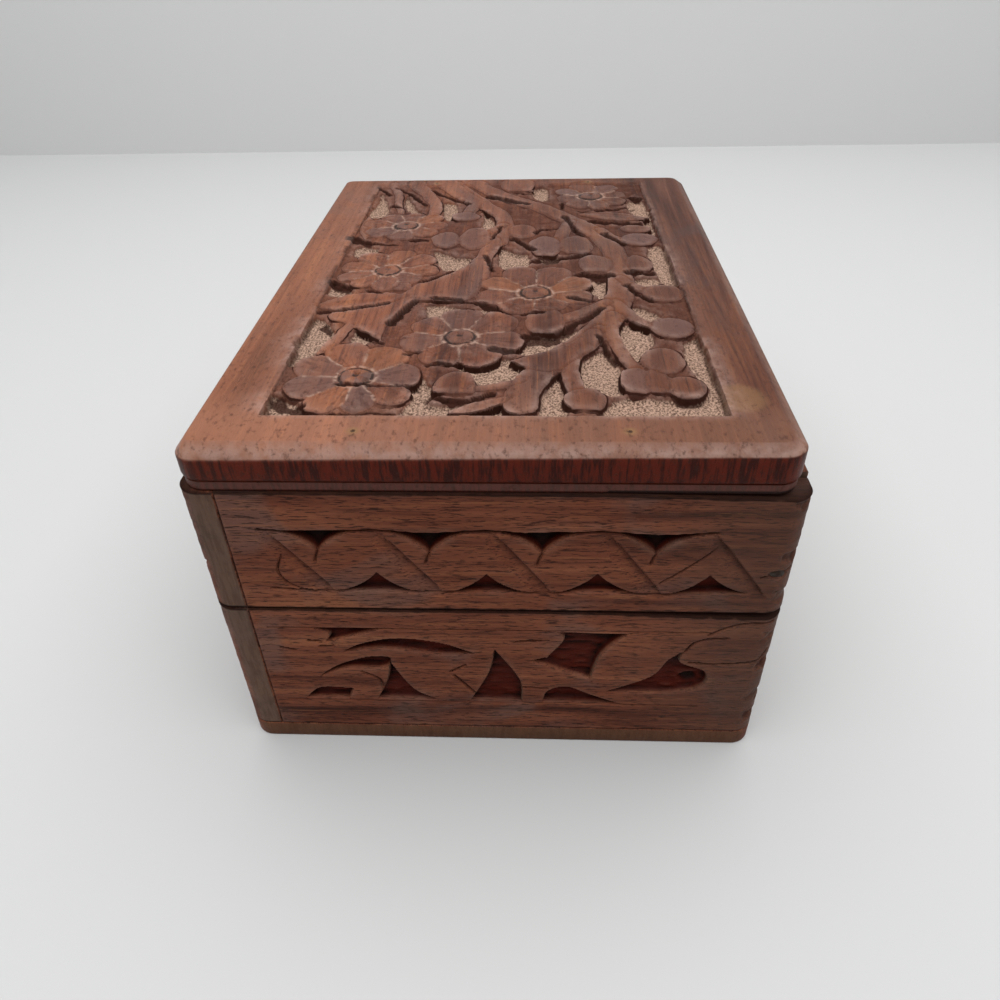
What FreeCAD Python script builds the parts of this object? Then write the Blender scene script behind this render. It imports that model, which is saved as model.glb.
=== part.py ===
"""Carved hardwood keepsake box.

A nailed tray of four boards on a bottom panel carries a deep lid, four rails under a carved top
board, on two butt hinges. Frame: +Z up, origin at the middle of the underside, X along the long
sides, the front at -Y, the hinges on the back at +Y, the right end at +X. Millimetres and degrees.
"""
import FreeCAD
import Part
import math
import os
from FreeCAD import Vector

# Box body
BODY_LENGTH = 140.7
BODY_WIDTH = 101.6
WALL = 6.5
CORNER_RADIUS = 4.0
BOTTOM_THICKNESS = 4.0
BASE_WALL_HEIGHT = 33.0
RAIL_HEIGHT = 25.8
FRONT_GAP = 0.3
BACK_GAP = 1.2
GAP_RUN = 28.0
LOW_RAIL_RUN = 32.0
LOW_RAIL_DROP = 0.9

# Lid board and its moulded edge
BOARD_THICKNESS = 8.5
BOARD_FRONT_INSET = 0.95
BOARD_BACK_INSET = 2.45
BOARD_CORNER_RADIUS = 4.0
FOOT_HEIGHT = 1.9
FOOT_SETBACK = 0.35
NOSE_ROUND = 0.7
BEVEL = 2.2

# Sunk field of the lid, in the coordinates of the relief drawing
RELIEF_EDGE = 48.4
FIELD_DEPTH = 1.7
FIELD_LEFT = 10.6
FIELD_RIGHT = 86.3
FIELD_NEAR = 9.7
FIELD_FAR = 134.5
FIELD_FAR_DRAW = 1.8
BOSS_GROOVE_WIDTH = 0.6
BOSS_GROOVE_DEPTH = 0.7
VALLEY_SHARE = 0.78

# Chip carving on the walls
WAVE_PERIOD = 18.8
WAVE_START = 12.0
WAVE_LOW = 4.5
WAVE_HIGH = 17.7
WAVE_CHIP_WIDTH = 7.4
WAVE_CHIP_RISE = 4.6
WAVE_CHIP_DEPTH = 2.0
SCROLL_DEPTH = 1.8
SCROLL_REPEAT = 71.0

# Butt hinges
HINGE_END_DISTANCE = 34.35
HINGE_LENGTH = 20.0
LEAF_THICKNESS = 0.8
LEAF_MARGIN = 1.1
LEAF_GAP = 0.3
BARREL_RADIUS = 1.5
BARREL_CLEARANCE = 0.3
KNUCKLE_GAP = 0.2
PIN_RADIUS = 0.7
PIN_RUNNING_CLEARANCE = 0.05
PIN_HEAD_RADIUS = 1.1
PIN_HEAD_HEIGHT = 0.4
MORTISE_CLEARANCE = 0.1
SCREW_SPACING = 12.0
SCREW_RADIUS = 0.8
SCREW_HEAD_RADIUS = 1.5
SCREW_LENGTH = 7.0
SCREW_POINT = 1.6

# Nails: corner nails, bottom panel nails and lid brads
NAIL_RADIUS = 0.7
NAIL_HEAD_RADIUS = 1.2
NAIL_HEAD_HEIGHT = 0.6
NAIL_SET = 0.8
CORNER_NAIL_LENGTH = 16.0
CORNER_NAIL_EDGE = 9.0
PANEL_NAIL_LENGTH = 10.0
PANEL_NAIL_SIDE_PITCH = 46.0
PANEL_NAIL_END_PITCH = 44.0
BRAD_RADIUS = 0.5
BRAD_HEAD_RADIUS = 0.8
BRAD_HEAD_HEIGHT = 0.4
BRAD_LENGTH = 17.0
BRAD_PITCH = 43.0
BRAD_INSET = 5.0

# Worked-out places
HALF_LENGTH = BODY_LENGTH / 2
HALF_WIDTH = BODY_WIDTH / 2
BASE_TOP = BOTTOM_THICKNESS + BASE_WALL_HEIGHT
SPLIT = BASE_TOP + FRONT_GAP
BACK_TOP = SPLIT - BACK_GAP
RAIL_TOP = SPLIT + RAIL_HEIGHT
BOARD_TOP = RAIL_TOP + BOARD_THICKNESS
NOSE_WIDTH = BODY_WIDTH - BOARD_FRONT_INSET - BOARD_BACK_INSET
BOARD_SHIFT = (BOARD_FRONT_INSET - BOARD_BACK_INSET) / 2
HINGE_Y = HALF_WIDTH + BARREL_CLEARANCE + BARREL_RADIUS
HINGE_Z = SPLIT - BACK_GAP / 2
HINGE_X = HALF_LENGTH - HINGE_END_DISTANCE
LEAF_WIDTH = WALL - LEAF_MARGIN
LEVEL_TOLERANCE = 0.01

BASE_NAMES = {
    "front": "base_front_board",
    "right": "base_right_end_board",
    "back": "base_back_board",
    "left": "base_left_end_board",
}
LID_NAMES = {
    "front": "lid_front_rail",
    "right": "lid_right_end_rail",
    "back": "lid_back_rail",
    "left": "lid_left_end_rail",
}

# Lid relief, drawn from above: u across from the relief's front edge, v along from the right end.
# Flowers: u, v, boss radius, tip radius, petals, turn of the first petal.
FLOWERS = [
    (24.0, 22.9, 2.9, 12.6, 8, 15.0),
    (41.0, 38.4, 2.8, 12.0, 7, 42.0),
    (55.2, 58.8, 3.0, 12.8, 8, 22.0),
    (22.5, 71.2, 2.7, 11.6, 9, 2.0),
    (22.7, 100.8, 2.8, 10.6, 8, 0.0),
    (70.0, 123.2, 3.0, 9.8, 8, 10.0),
]
# Round leaves: u, v, radius.
ROUND_LEAVES = [
    (41.7, 21.0, 3.7), (63.6, 15.3, 3.4), (80.4, 19.3, 3.4), (72.6, 20.9, 3.1), (76.0, 21.4, 2.9),
    (77.9, 28.6, 4.2), (81.2, 41.8, 4.1), (81.6, 58.2, 4.0), (78.2, 73.8, 3.3), (79.9, 89.6, 4.0),
    (68.5, 74.0, 4.0), (37.3, 107.2, 3.4), (57.5, 83.9, 4.1), (64.7, 84.7, 3.9), (33.6, 89.6, 3.8),
    (40.6, 88.4, 4.3), (57.2, 44.4, 4.1), (26.7, 62.3, 2.1), (52.0, 96.0, 3.9),
]
# Pointed leaves: u and v of the stalk and of the tip, width.
POINTED_LEAVES = [
    (66.0, 108.4, 83.4, 104.6, 5.6), (29.0, 57.0, 11.6, 52.6, 7.6), (66.0, 40.0, 51.5, 28.4, 7.2),
    (51.8, 16.4, 42.6, 11.2, 2.4), (20.5, 49.0, 15.0, 31.0, 4.0), (22.0, 50.0, 25.8, 37.4, 5.0),
]
# Stems: width at the start and at the end, then points.
STEMS = [
    (6.0, 5.0, [(52.9, 10.9), (53.6, 19.0), (58.0, 27.5), (63.5, 35.0), (68.2, 43.0), (71.2, 52.0),
                (73.4, 62.0), (73.4, 76.0), (72.4, 86.0), (69.0, 96.0), (61.5, 107.0), (55.0, 115.5),
                (46.0, 124.5), (37.0, 137.0)]),
    (10.0, 4.2, [(20.8, 46.4), (27.5, 54.0), (36.0, 62.0), (41.8, 71.0), (44.0, 80.0), (46.4, 90.0),
                 (47.2, 100.0), (45.8, 109.0), (42.0, 116.0), (37.0, 126.0), (31.0, 137.0)]),
    (3.0, 2.8, [(67.6, 41.5), (64.0, 35.0), (61.8, 28.0), (61.6, 22.0), (62.6, 16.0)]),
    (2.6, 2.3, [(70.4, 48.0), (69.8, 40.0), (70.6, 33.0), (73.2, 24.0)]),
    (2.8, 2.4, [(71.6, 53.0), (75.0, 45.5), (80.0, 41.8)]),
    (2.8, 2.4, [(73.6, 66.0), (76.0, 61.5), (80.5, 58.5)]),
    (3.0, 2.4, [(71.0, 96.0), (74.2, 90.5), (79.0, 88.8)]),
    (1.9, 1.7, [(53.0, 21.6), (49.0, 19.7), (43.0, 19.4)]),
    (3.0, 3.0, [(57.5, 44.0), (63.5, 48.0), (70.0, 53.8)]),
    (2.6, 1.6, [(14.4, 137.0), (17.0, 126.0), (18.4, 117.0), (20.4, 107.0)]),
    (5.0, 2.8, [(20.4, 137.0), (25.0, 126.5), (28.6, 117.0), (28.0, 106.0)]),
    (3.4, 3.0, [(63.5, 104.0), (62.0, 95.0), (60.8, 86.0)]),
]
# Leaf scroll recesses on a wall: u along from the wall's left edge, v up from the underside, then
# the rise of the arc that leads to the next point, into the recess where it is above zero.
SCROLL = {
    "top nick": [(17.5, 32.2, 0.0), (21.5, 30.2, 0.0), (30.0, 32.2, 0.0)],
    "arch": [(21.5, 25.5, 1.3), (46.8, 26.0, -4.0)],
    "eye": [(16.0, 18.2, 1.0), (30.4, 22.0, 0.0), (30.4, 24.5, -1.9)],
    "foot": [(13.0, 12.0, 0.0), (21.5, 12.0, 0.0), (22.2, 15.0, 0.0), (16.0, 15.2, 0.0)],
    "fin": [(27.0, 12.0, 0.0), (39.8, 12.0, 1.5), (30.8, 21.0, -0.6)],
    "spire": [(45.6, 12.0, 0.0), (55.6, 12.0, -1.3), (50.4, 27.0, 0.9)],
    "flag": [(56.8, 24.2, 0.4), (66.6, 19.5, 0.0), (68.5, 21.0, 0.0), (69.1, 27.0, 0.0),
             (74.8, 31.9, 0.0), (61.7, 31.9, 0.0), (63.0, 30.0, 0.0), (60.0, 25.0, 0.0)],
    "wedge": [(60.0, 12.0, 0.0), (74.5, 12.0, -0.8), (64.0, 17.0, 0.0), (60.0, 16.0, 0.0)],
    "comma": [(71.0, 15.3, 0.0), (85.0, 15.3, -1.6), (89.8, 20.5, -0.8), (85.2, 27.4, 2.0)],
}
SCROLL_REPEATED = ("arch", "eye", "fin", "spire")


def block(x_low, x_high, y_low, y_high, z_low, z_high):
    """Box between two corners."""
    return Part.makeBox(x_high - x_low, y_high - y_low, z_high - z_low, Vector(x_low, y_low, z_low))


def rounded_block(length, width, radius, z_low, z_high):
    """Upright block centred on the Z axis, its four upright corners rounded."""
    solid = block(-length / 2, length / 2, -width / 2, width / 2, z_low, z_high)
    upright = [edge for edge in solid.Edges if abs(edge.tangentAt(edge.FirstParameter).z) > 0.99]
    return solid.makeFillet(radius, upright)


def cylinder(radius, length, start, direction):
    """Cylinder from a start point along a direction."""
    return Part.makeCylinder(radius, length, start, direction)


def turned(shape, degrees):
    """Copy of a shape turned about the Z axis."""
    copy = shape.copy()
    copy.rotate(Vector(0, 0, 0), Vector(0, 0, 1), degrees)
    return copy


def prism(points, direction):
    """Straight-sided solid: a polygon drawn through points and pushed along a direction."""
    wire = Part.makePolygon(points + [points[0]])
    return Part.Face(wire).extrude(direction)


def save(shape, name):
    """Write one sub-part; a group of separate solids is written as a compound."""
    shape.exportStep("parts/" + name + ".step")


def tier_boards(z_low, z_high):
    """Four boards of one tier, each end butted behind the next board round the box."""
    envelope = rounded_block(BODY_LENGTH, BODY_WIDTH, CORNER_RADIUS, z_low, z_high)
    front = block(WALL - HALF_LENGTH, HALF_LENGTH, -HALF_WIDTH, WALL - HALF_WIDTH, z_low, z_high)
    right = block(HALF_LENGTH - WALL, HALF_LENGTH, WALL - HALF_WIDTH, HALF_WIDTH, z_low, z_high)
    boards = {"front": front, "right": right, "back": turned(front, 180), "left": turned(right, 180)}
    return {name: board.common(envelope) for name, board in boards.items()}


def nail(head, direction, length, radius, head_radius, head_height):
    """Wire nail, its head's outer face at a point, driven along a direction."""
    top = cylinder(head_radius, head_height, head, direction)
    shank = cylinder(radius, length, head, direction)
    return top.fuse(shank).removeSplitter()


def nail_hole(driven, head, direction, head_radius, depth):
    """Room for a driven nail and the short hole above its set head."""
    above = cylinder(head_radius, depth, head - direction * depth, direction)
    return driven.fuse(above)


def corner_nails(z_low, z_high):
    """Nails of one tier's four corners, through the covering board into the next board's end."""
    nails = []
    holes = []
    for z in (z_low + CORNER_NAIL_EDGE, z_high - CORNER_NAIL_EDGE):
        end_head = Vector(HALF_LENGTH - NAIL_SET, HALF_WIDTH - WALL / 2, z)
        front_head = Vector(HALF_LENGTH - WALL / 2, NAIL_SET - HALF_WIDTH, z)
        for head, way in ((end_head, Vector(-1, 0, 0)), (front_head, Vector(0, 1, 0))):
            size = (NAIL_RADIUS, NAIL_HEAD_RADIUS, NAIL_HEAD_HEIGHT)
            driven = nail(head, way, CORNER_NAIL_LENGTH - NAIL_SET, *size)
            hole = nail_hole(driven, head, way, NAIL_HEAD_RADIUS, NAIL_SET)
            nails += [driven, turned(driven, 180)]
            holes += [hole, turned(hole, 180)]
    return nails, holes


def upright_nails(places, z_face, up, length, size):
    """Nails set into a flat face at (x, y) places; up is 1 when they are driven upwards."""
    way = Vector(0, 0, up)
    heads = [Vector(x, y, z_face) + way * NAIL_SET for x, y in places]
    nails = [nail(head, way, length - NAIL_SET, *size) for head in heads]
    holes = [nail_hole(item, head, way, size[1], NAIL_SET) for item, head in zip(nails, heads)]
    return nails, holes


def screw(x, y, z_face, up):
    """Countersunk screw, its head flush with a face, driven up (1) or down (-1)."""
    way = Vector(0, 0, up)
    face = Vector(x, y, z_face)
    head = Part.makeCone(SCREW_HEAD_RADIUS, SCREW_RADIUS, LEAF_THICKNESS, face, way)
    straight = SCREW_LENGTH - SCREW_POINT
    shank = cylinder(SCREW_RADIUS, straight, face, way)
    point = Part.makeCone(SCREW_RADIUS, 0, SCREW_POINT, face + way * straight, way)
    return head.multiFuse([shank, point]).removeSplitter()


def arc_outline(points):
    """Closed wire through (u, v, rise) points; a rise bends the edge that leaves its point."""
    edges = []
    for (u, v, rise), (next_u, next_v, _) in zip(points, points[1:] + points[:1]):
        start = Vector(u, 0, v)
        end = Vector(next_u, 0, next_v)
        if rise == 0:
            edges.append(Part.LineSegment(start, end).toShape())
            continue
        left = Vector(v - next_v, 0, next_u - u).normalize()
        middle = (start + end) * 0.5 + left * rise
        edges.append(Part.Arc(start, middle, end).toShape())
    return Part.Wire(edges)


def wave_chips(face_length, face_distance):
    """Pointed chips above and below the running wave on a wall that faces -Y."""
    chips = []
    half = WAVE_CHIP_WIDTH / 2
    count = int((face_length - 2 * WAVE_START) / WAVE_PERIOD * 2)
    for index in range(1, count + 1):
        middle = WAVE_START + index * WAVE_PERIOD / 2 - face_length / 2
        base, tip = (WAVE_HIGH, WAVE_HIGH - WAVE_CHIP_RISE)
        if index % 2 == 0:
            base, tip = (WAVE_LOW, WAVE_LOW + WAVE_CHIP_RISE)
        outline = [(middle - half, base), (middle + half, base), (middle, tip)]
        points = [Vector(u, -face_distance, SPLIT + v) for u, v in outline]
        chips.append(prism(points, Vector(0, WAVE_CHIP_DEPTH, 0)))
    return chips


def scroll_chips(face_length, face_distance, repeats):
    """Recesses of the leaf scroll on a wall that faces -Y, some of them repeated further along."""
    outlines = list(SCROLL.values())
    for repeat in range(1, repeats):
        for name in SCROLL_REPEATED:
            outlines.append([(u + repeat * SCROLL_REPEAT, v, rise) for u, v, rise in SCROLL[name]])
    chips = []
    for outline in outlines:
        recess = Part.Face(arc_outline(outline)).extrude(Vector(0, SCROLL_DEPTH, 0))
        recess.translate(Vector(-face_length / 2, -face_distance, 0))
        chips.append(recess)
    return chips


def lid_point(u, v):
    """Point on the lid's top from relief drawing coordinates."""
    return Vector(HALF_LENGTH - v, u - RELIEF_EDGE, BOARD_TOP)


def lid_spot(u, v, radius):
    """Round face on the lid's top."""
    edge = Part.Circle(lid_point(u, v), Vector(0, 0, 1), radius).toShape()
    return Part.Face(Part.Wire([edge]))


def flower_face(u, v, radius, petals, turn):
    """Scalloped flower: one arc over each petal from valley to valley."""
    def rim(share, degrees):
        angle = math.radians(turn + degrees)
        return lid_point(u + share * radius * math.cos(angle), v + share * radius * math.sin(angle))

    count = round(petals)
    step = 360 / count
    edges = []
    for index in range(count):
        tip = index * step
        start, end = (rim(VALLEY_SHARE, tip - step / 2), rim(VALLEY_SHARE, tip + step / 2))
        edges.append(Part.Arc(start, rim(1, tip), end).toShape())
    return Part.Face(Part.Wire(edges))


def pointed_leaf_face(stalk_u, stalk_v, tip_u, tip_v, width):
    """Leaf between two arcs that meet at the stalk and the tip."""
    stalk, tip = (lid_point(stalk_u, stalk_v), lid_point(tip_u, tip_v))
    along = (tip - stalk).normalize()
    across = Vector(-along.y, along.x, 0) * (width / 2)
    middle = (stalk + tip) * 0.5
    edges = [Part.Arc(stalk, middle + across, tip).toShape(), Part.Arc(tip, middle - across, stalk).toShape()]
    return Part.Face(Part.Wire(edges))


def stem_face(start_width, end_width, drawn):
    """Ribbon along drawn points, its width changing evenly from start to end."""
    points = [lid_point(u, v) for u, v in drawn]
    last = len(points) - 1
    left, right = ([], [])
    for index, point in enumerate(points):
        along = (points[min(index + 1, last)] - points[max(index - 1, 0)]).normalize()
        half = (start_width + (end_width - start_width) * index / last) / 2
        across = Vector(-along.y, along.x, 0) * half
        left.append(point + across)
        right.append(point - across)
    sides = []
    for side in (left, right):
        curve = Part.BSplineCurve()
        curve.interpolate(side)
        sides.append(curve.toShape())
    ends = [Part.LineSegment(left[0], right[0]).toShape(), Part.LineSegment(left[-1], right[-1]).toShape()]
    return Part.Face(Part.Wire(Part.__sortEdges__(sides + ends)))


def relief_faces():
    """Every motif of the lid relief as a flat face on the lid's top."""
    faces = [flower_face(u, v, tip, petals, turn) for u, v, _, tip, petals, turn in FLOWERS]
    faces += [lid_spot(*leaf) for leaf in ROUND_LEAVES]
    faces += [pointed_leaf_face(*leaf) for leaf in POINTED_LEAVES]
    faces += [stem_face(*stem) for stem in STEMS]
    return faces


def field_face():
    """Outline of the sunk field, a little narrower at its far right."""
    corners = [
        lid_point(FIELD_LEFT, FIELD_NEAR),
        lid_point(FIELD_RIGHT, FIELD_NEAR),
        lid_point(FIELD_RIGHT - FIELD_FAR_DRAW, FIELD_FAR),
        lid_point(FIELD_LEFT, FIELD_FAR),
    ]
    return Part.Face(Part.makePolygon(corners + [corners[0]]))


def lid_board():
    """Top board: bevelled nose over a set-back foot, and relief left standing in a sunk field."""
    step = RAIL_TOP + FOOT_HEIGHT
    foot_length, foot_width = (size - 2 * FOOT_SETBACK for size in (BODY_LENGTH, NOSE_WIDTH))
    foot = rounded_block(foot_length, foot_width, BOARD_CORNER_RADIUS - FOOT_SETBACK, RAIL_TOP, step)
    upper = rounded_block(BODY_LENGTH, NOSE_WIDTH, BOARD_CORNER_RADIUS, step, BOARD_TOP)
    upper = upper.makeChamfer(BEVEL, level_edges(upper, BOARD_TOP))
    upper = upper.makeFillet(NOSE_ROUND, level_edges(upper, step))
    board = foot.fuse(upper).removeSplitter()
    board.translate(Vector(0, BOARD_SHIFT, 0))
    ground = field_face().cut(relief_faces())
    board = board.cut(ground.extrude(Vector(0, 0, -FIELD_DEPTH)))
    grooves = []
    for u, v, boss, *_ in FLOWERS:
        ring = lid_spot(u, v, boss + BOSS_GROOVE_WIDTH / 2).cut(lid_spot(u, v, boss - BOSS_GROOVE_WIDTH / 2))
        grooves.append(ring.extrude(Vector(0, 0, -BOSS_GROOVE_DEPTH)))
    return board.cut(grooves)


def level_edges(solid, height):
    """Edges of a solid that lie at one height."""
    def near(z):
        return abs(z - height) < LEVEL_TOLERANCE
    return [edge for edge in solid.Edges if near(edge.BoundBox.ZMin) and near(edge.BoundBox.ZMax)]


def hinge_leaf(x, up, knuckles, hole_radius):
    """Leaf of a hinge at x: a plate let into the wood's edge, up 1 for the lid and -1 for the base.

    knuckles are the (start, end) places along the hinge of this leaf's own knuckles.
    """
    near, far = (up * LEAF_GAP / 2, up * (LEAF_GAP / 2 + LEAF_THICKNESS))
    z_low, z_high = (HINGE_Z + min(near, far), HINGE_Z + max(near, far))
    start = x - HINGE_LENGTH / 2
    leaf = block(start, start + HINGE_LENGTH, HALF_WIDTH - LEAF_WIDTH, HALF_WIDTH, z_low, z_high)
    for low, high in knuckles:
        tongue = block(start + low, start + high, HALF_WIDTH, HINGE_Y, z_low, z_high)
        barrel = cylinder(BARREL_RADIUS, high - low, Vector(start + low, HINGE_Y, HINGE_Z), Vector(1, 0, 0))
        leaf = leaf.multiFuse([tongue, barrel])
    bore = cylinder(hole_radius, HINGE_LENGTH, Vector(start, HINGE_Y, HINGE_Z), Vector(1, 0, 0))
    return leaf.removeSplitter().cut(bore)


def hinge_pin(x):
    """Riveted pin through a hinge's knuckles."""
    along = Vector(1, 0, 0)
    start = Vector(x - HINGE_LENGTH / 2, HINGE_Y, HINGE_Z)
    shank = cylinder(PIN_RADIUS, HINGE_LENGTH, start, along)
    near_head = cylinder(PIN_HEAD_RADIUS, PIN_HEAD_HEIGHT, start - along * PIN_HEAD_HEIGHT, along)
    far_head = cylinder(PIN_HEAD_RADIUS, PIN_HEAD_HEIGHT, start + along * HINGE_LENGTH, along)
    return shank.multiFuse([near_head, far_head]).removeSplitter()


def leaf_mortise(x, up):
    """Shallow seat for a hinge leaf in the edge of the back board or back rail."""
    edge = SPLIT if up > 0 else BACK_TOP
    back = HINGE_Z + up * (LEAF_GAP / 2 + LEAF_THICKNESS)
    half = HINGE_LENGTH / 2 + MORTISE_CLEARANCE
    inner = HALF_WIDTH - LEAF_WIDTH - MORTISE_CLEARANCE
    return block(x - half, x + half, inner, HALF_WIDTH, min(edge, back), max(edge, back))


def hinge_set(side_x, name, screws_below, screws_above):
    """Leaves, pin and screws of one hinge: returns its named parts and adds to the screw lists."""
    knuckle = (HINGE_LENGTH - 2 * KNUCKLE_GAP) / 3
    outer = [(0, knuckle), (HINGE_LENGTH - knuckle, HINGE_LENGTH)]
    middle = [(knuckle + KNUCKLE_GAP, HINGE_LENGTH - knuckle - KNUCKLE_GAP)]
    base_leaf = hinge_leaf(side_x, -1, outer, PIN_RADIUS)
    lid_leaf = hinge_leaf(side_x, 1, middle, PIN_RADIUS + PIN_RUNNING_CLEARANCE)
    y = HALF_WIDTH - LEAF_WIDTH / 2
    own_below, own_above = ([], [])
    for x in (side_x - SCREW_SPACING / 2, side_x + SCREW_SPACING / 2):
        own_below.append(screw(x, y, HINGE_Z - LEAF_GAP / 2, -1))
        own_above.append(screw(x, y, HINGE_Z + LEAF_GAP / 2, 1))
    screws_below += own_below
    screws_above += own_above
    return {
        name + "_base_leaf": base_leaf.cut(own_below),
        name + "_lid_leaf": lid_leaf.cut(own_above),
        name + "_pin": hinge_pin(side_x),
    }


def base_boards():
    """Walls of the tray with their carving, the back part of their top edge planed lower."""
    boards = tier_boards(BOTTOM_THICKNESS, BASE_TOP)
    seat = HALF_WIDTH - WALL
    line = [(seat - GAP_RUN, BASE_TOP), (seat, BACK_TOP), (HALF_WIDTH, BACK_TOP), (HALF_WIDTH, BASE_TOP)]
    points = [Vector(-HALF_LENGTH, y, z) for y, z in line]
    planed = prism(points, Vector(BODY_LENGTH, 0, 0))
    for name in ("right", "left", "back"):
        boards[name] = boards[name].cut(planed)
    end_chips = scroll_chips(BODY_WIDTH, HALF_LENGTH, 1)
    boards["right"] = boards["right"].cut([turned(chip, 90) for chip in end_chips])
    boards["left"] = boards["left"].cut([turned(chip, -90) for chip in end_chips])
    boards["front"] = boards["front"].cut(scroll_chips(BODY_LENGTH, HALF_WIDTH, 2))
    return boards


def lid_rails():
    """Rails of the lid with their wave band, the right rail's top edge low at its back corner."""
    rails = tier_boards(SPLIT, RAIL_TOP)
    low = RAIL_TOP - LOW_RAIL_DROP
    line = [(HALF_WIDTH - LOW_RAIL_RUN, RAIL_TOP), (HALF_WIDTH, low), (HALF_WIDTH, RAIL_TOP)]
    points = [Vector(HALF_LENGTH - WALL, y, z) for y, z in line]
    rails["right"] = rails["right"].cut(prism(points, Vector(WALL, 0, 0)))
    end_chips = wave_chips(BODY_WIDTH, HALF_LENGTH)
    rails["right"] = rails["right"].cut([turned(chip, 90) for chip in end_chips])
    rails["left"] = rails["left"].cut([turned(chip, -90) for chip in end_chips])
    rails["front"] = rails["front"].cut(wave_chips(BODY_LENGTH, HALF_WIDTH))
    return rails


def grid_places(side_pitch, end_pitch, side_inset, end_inset):
    """Places of nails along the walls: three to a long side, two to an end."""
    side_y = HALF_WIDTH - side_inset
    end_x = HALF_LENGTH - end_inset
    places = [(x, y) for x in (-side_pitch, 0, side_pitch) for y in (-side_y, side_y)]
    return places + end_places(end_x, end_pitch)


def end_places(end_x, pitch):
    """Places of two nails at each end."""
    return [(x, y) for x in (-end_x, end_x) for y in (-pitch / 2, pitch / 2)]


def main():
    """Build every sub-part and write its file."""
    os.makedirs("parts", exist_ok=True)
    base = base_boards()
    lid = lid_rails()
    board = lid_board()
    bottom = rounded_block(BODY_LENGTH, BODY_WIDTH, CORNER_RADIUS, 0, BOTTOM_THICKNESS)

    base_nails, base_nail_holes = corner_nails(BOTTOM_THICKNESS, BASE_TOP)
    lid_nails, lid_nail_holes = corner_nails(SPLIT, RAIL_TOP)
    panel_places = grid_places(PANEL_NAIL_SIDE_PITCH, PANEL_NAIL_END_PITCH, WALL / 2, WALL / 2)
    panel_size = (NAIL_RADIUS, NAIL_HEAD_RADIUS, NAIL_HEAD_HEIGHT)
    panel_nails, panel_holes = upright_nails(panel_places, 0, 1, PANEL_NAIL_LENGTH, panel_size)
    brad_places = end_places(HALF_LENGTH - BRAD_INSET, BRAD_PITCH)
    brad_size = (BRAD_RADIUS, BRAD_HEAD_RADIUS, BRAD_HEAD_HEIGHT)
    brads, brad_holes = upright_nails(brad_places, BOARD_TOP, -1, BRAD_LENGTH, brad_size)

    screws_below, screws_above = ([], [])
    hinges = hinge_set(-HINGE_X, "hinge_left", screws_below, screws_above)
    hinges.update(hinge_set(HINGE_X, "hinge_right", screws_below, screws_above))
    hinge_places = (-HINGE_X, HINGE_X)
    base["back"] = base["back"].cut([leaf_mortise(x, -1) for x in hinge_places] + screws_below)
    lid["back"] = lid["back"].cut([leaf_mortise(x, 1) for x in hinge_places] + screws_above)

    for side, shape in base.items():
        save(shape.cut(base_nail_holes + panel_holes), BASE_NAMES[side])
    for side, shape in lid.items():
        save(shape.cut(lid_nail_holes + brad_holes), LID_NAMES[side])
    save(bottom.cut(panel_holes), "base_bottom_panel")
    save(board.cut(brad_holes), "lid_top_panel")
    for name, shape in hinges.items():
        save(shape, name)
    save(Part.makeCompound(screws_below), "hinge_base_screws")
    save(Part.makeCompound(screws_above), "hinge_lid_screws")
    save(Part.makeCompound(base_nails), "base_corner_nails")
    save(Part.makeCompound(lid_nails), "lid_corner_nails")
    save(Part.makeCompound(panel_nails), "bottom_panel_nails")
    save(Part.makeCompound(brads), "lid_panel_brads")


if __name__ == "__main__":
    main()
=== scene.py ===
"""Looks of the carved keepsake box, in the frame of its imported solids.

Every wooden piece starts as a fine grid: the carving of a face is cut into it as depths, the grid is
bent to the board's shape, and its rim is drawn out and closed into a solid. Drawings are in
millimetres, the scene is in metres.
"""
import logging
import math
from dataclasses import dataclass, field, replace
from enum import Enum
from functools import lru_cache
from typing import Callable, Dict, List, Optional, Sequence, Tuple

import bmesh
import bpy
import numpy as np
from mathutils import Matrix, Vector


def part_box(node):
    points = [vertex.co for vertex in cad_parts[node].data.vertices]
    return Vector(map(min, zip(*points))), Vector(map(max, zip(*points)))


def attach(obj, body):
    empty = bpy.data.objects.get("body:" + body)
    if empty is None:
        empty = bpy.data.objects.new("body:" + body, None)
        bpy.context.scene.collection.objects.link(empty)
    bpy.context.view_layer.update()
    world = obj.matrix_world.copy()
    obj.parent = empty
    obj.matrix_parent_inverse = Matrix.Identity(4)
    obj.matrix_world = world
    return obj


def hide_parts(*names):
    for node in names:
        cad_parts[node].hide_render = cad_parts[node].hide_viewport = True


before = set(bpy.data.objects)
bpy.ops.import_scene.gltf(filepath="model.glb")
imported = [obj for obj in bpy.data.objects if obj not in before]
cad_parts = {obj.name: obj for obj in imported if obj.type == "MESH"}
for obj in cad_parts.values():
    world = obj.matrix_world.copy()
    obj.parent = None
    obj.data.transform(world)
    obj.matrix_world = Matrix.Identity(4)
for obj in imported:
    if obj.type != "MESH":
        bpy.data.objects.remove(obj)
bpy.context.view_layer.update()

LOG = logging.getLogger("keepsake_box")
MM = 0.001
NEAR_CELL, FAR_CELL = 0.23, 0.36
NAIL_RISE = 9.0
# Chips in the near corner: height above the table and depth.
BASE_CHIPS = ((31.0, 0.5), (23.4, 0.9), (14.5, 0.5), (8.4, 0.7))
LID_CHIPS = ((61.5, 0.5), (50.2, 0.7), (41.2, 0.5))
Pair = Tuple[float, float]
Colour = Tuple[float, float, float]
Spot = Tuple[float, float, float]
Socket = bpy.types.NodeSocket
Node = bpy.types.Node
Outputs = bpy.types.NodeOutputs


def ramp(low: float, high: float, x: np.ndarray) -> np.ndarray:
    """Smooth step from 0 at low to 1 at high."""
    t = np.clip((x - low) / (high - low), 0.0, 1.0)
    return t * t * (3.0 - 2.0 * t)


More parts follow.
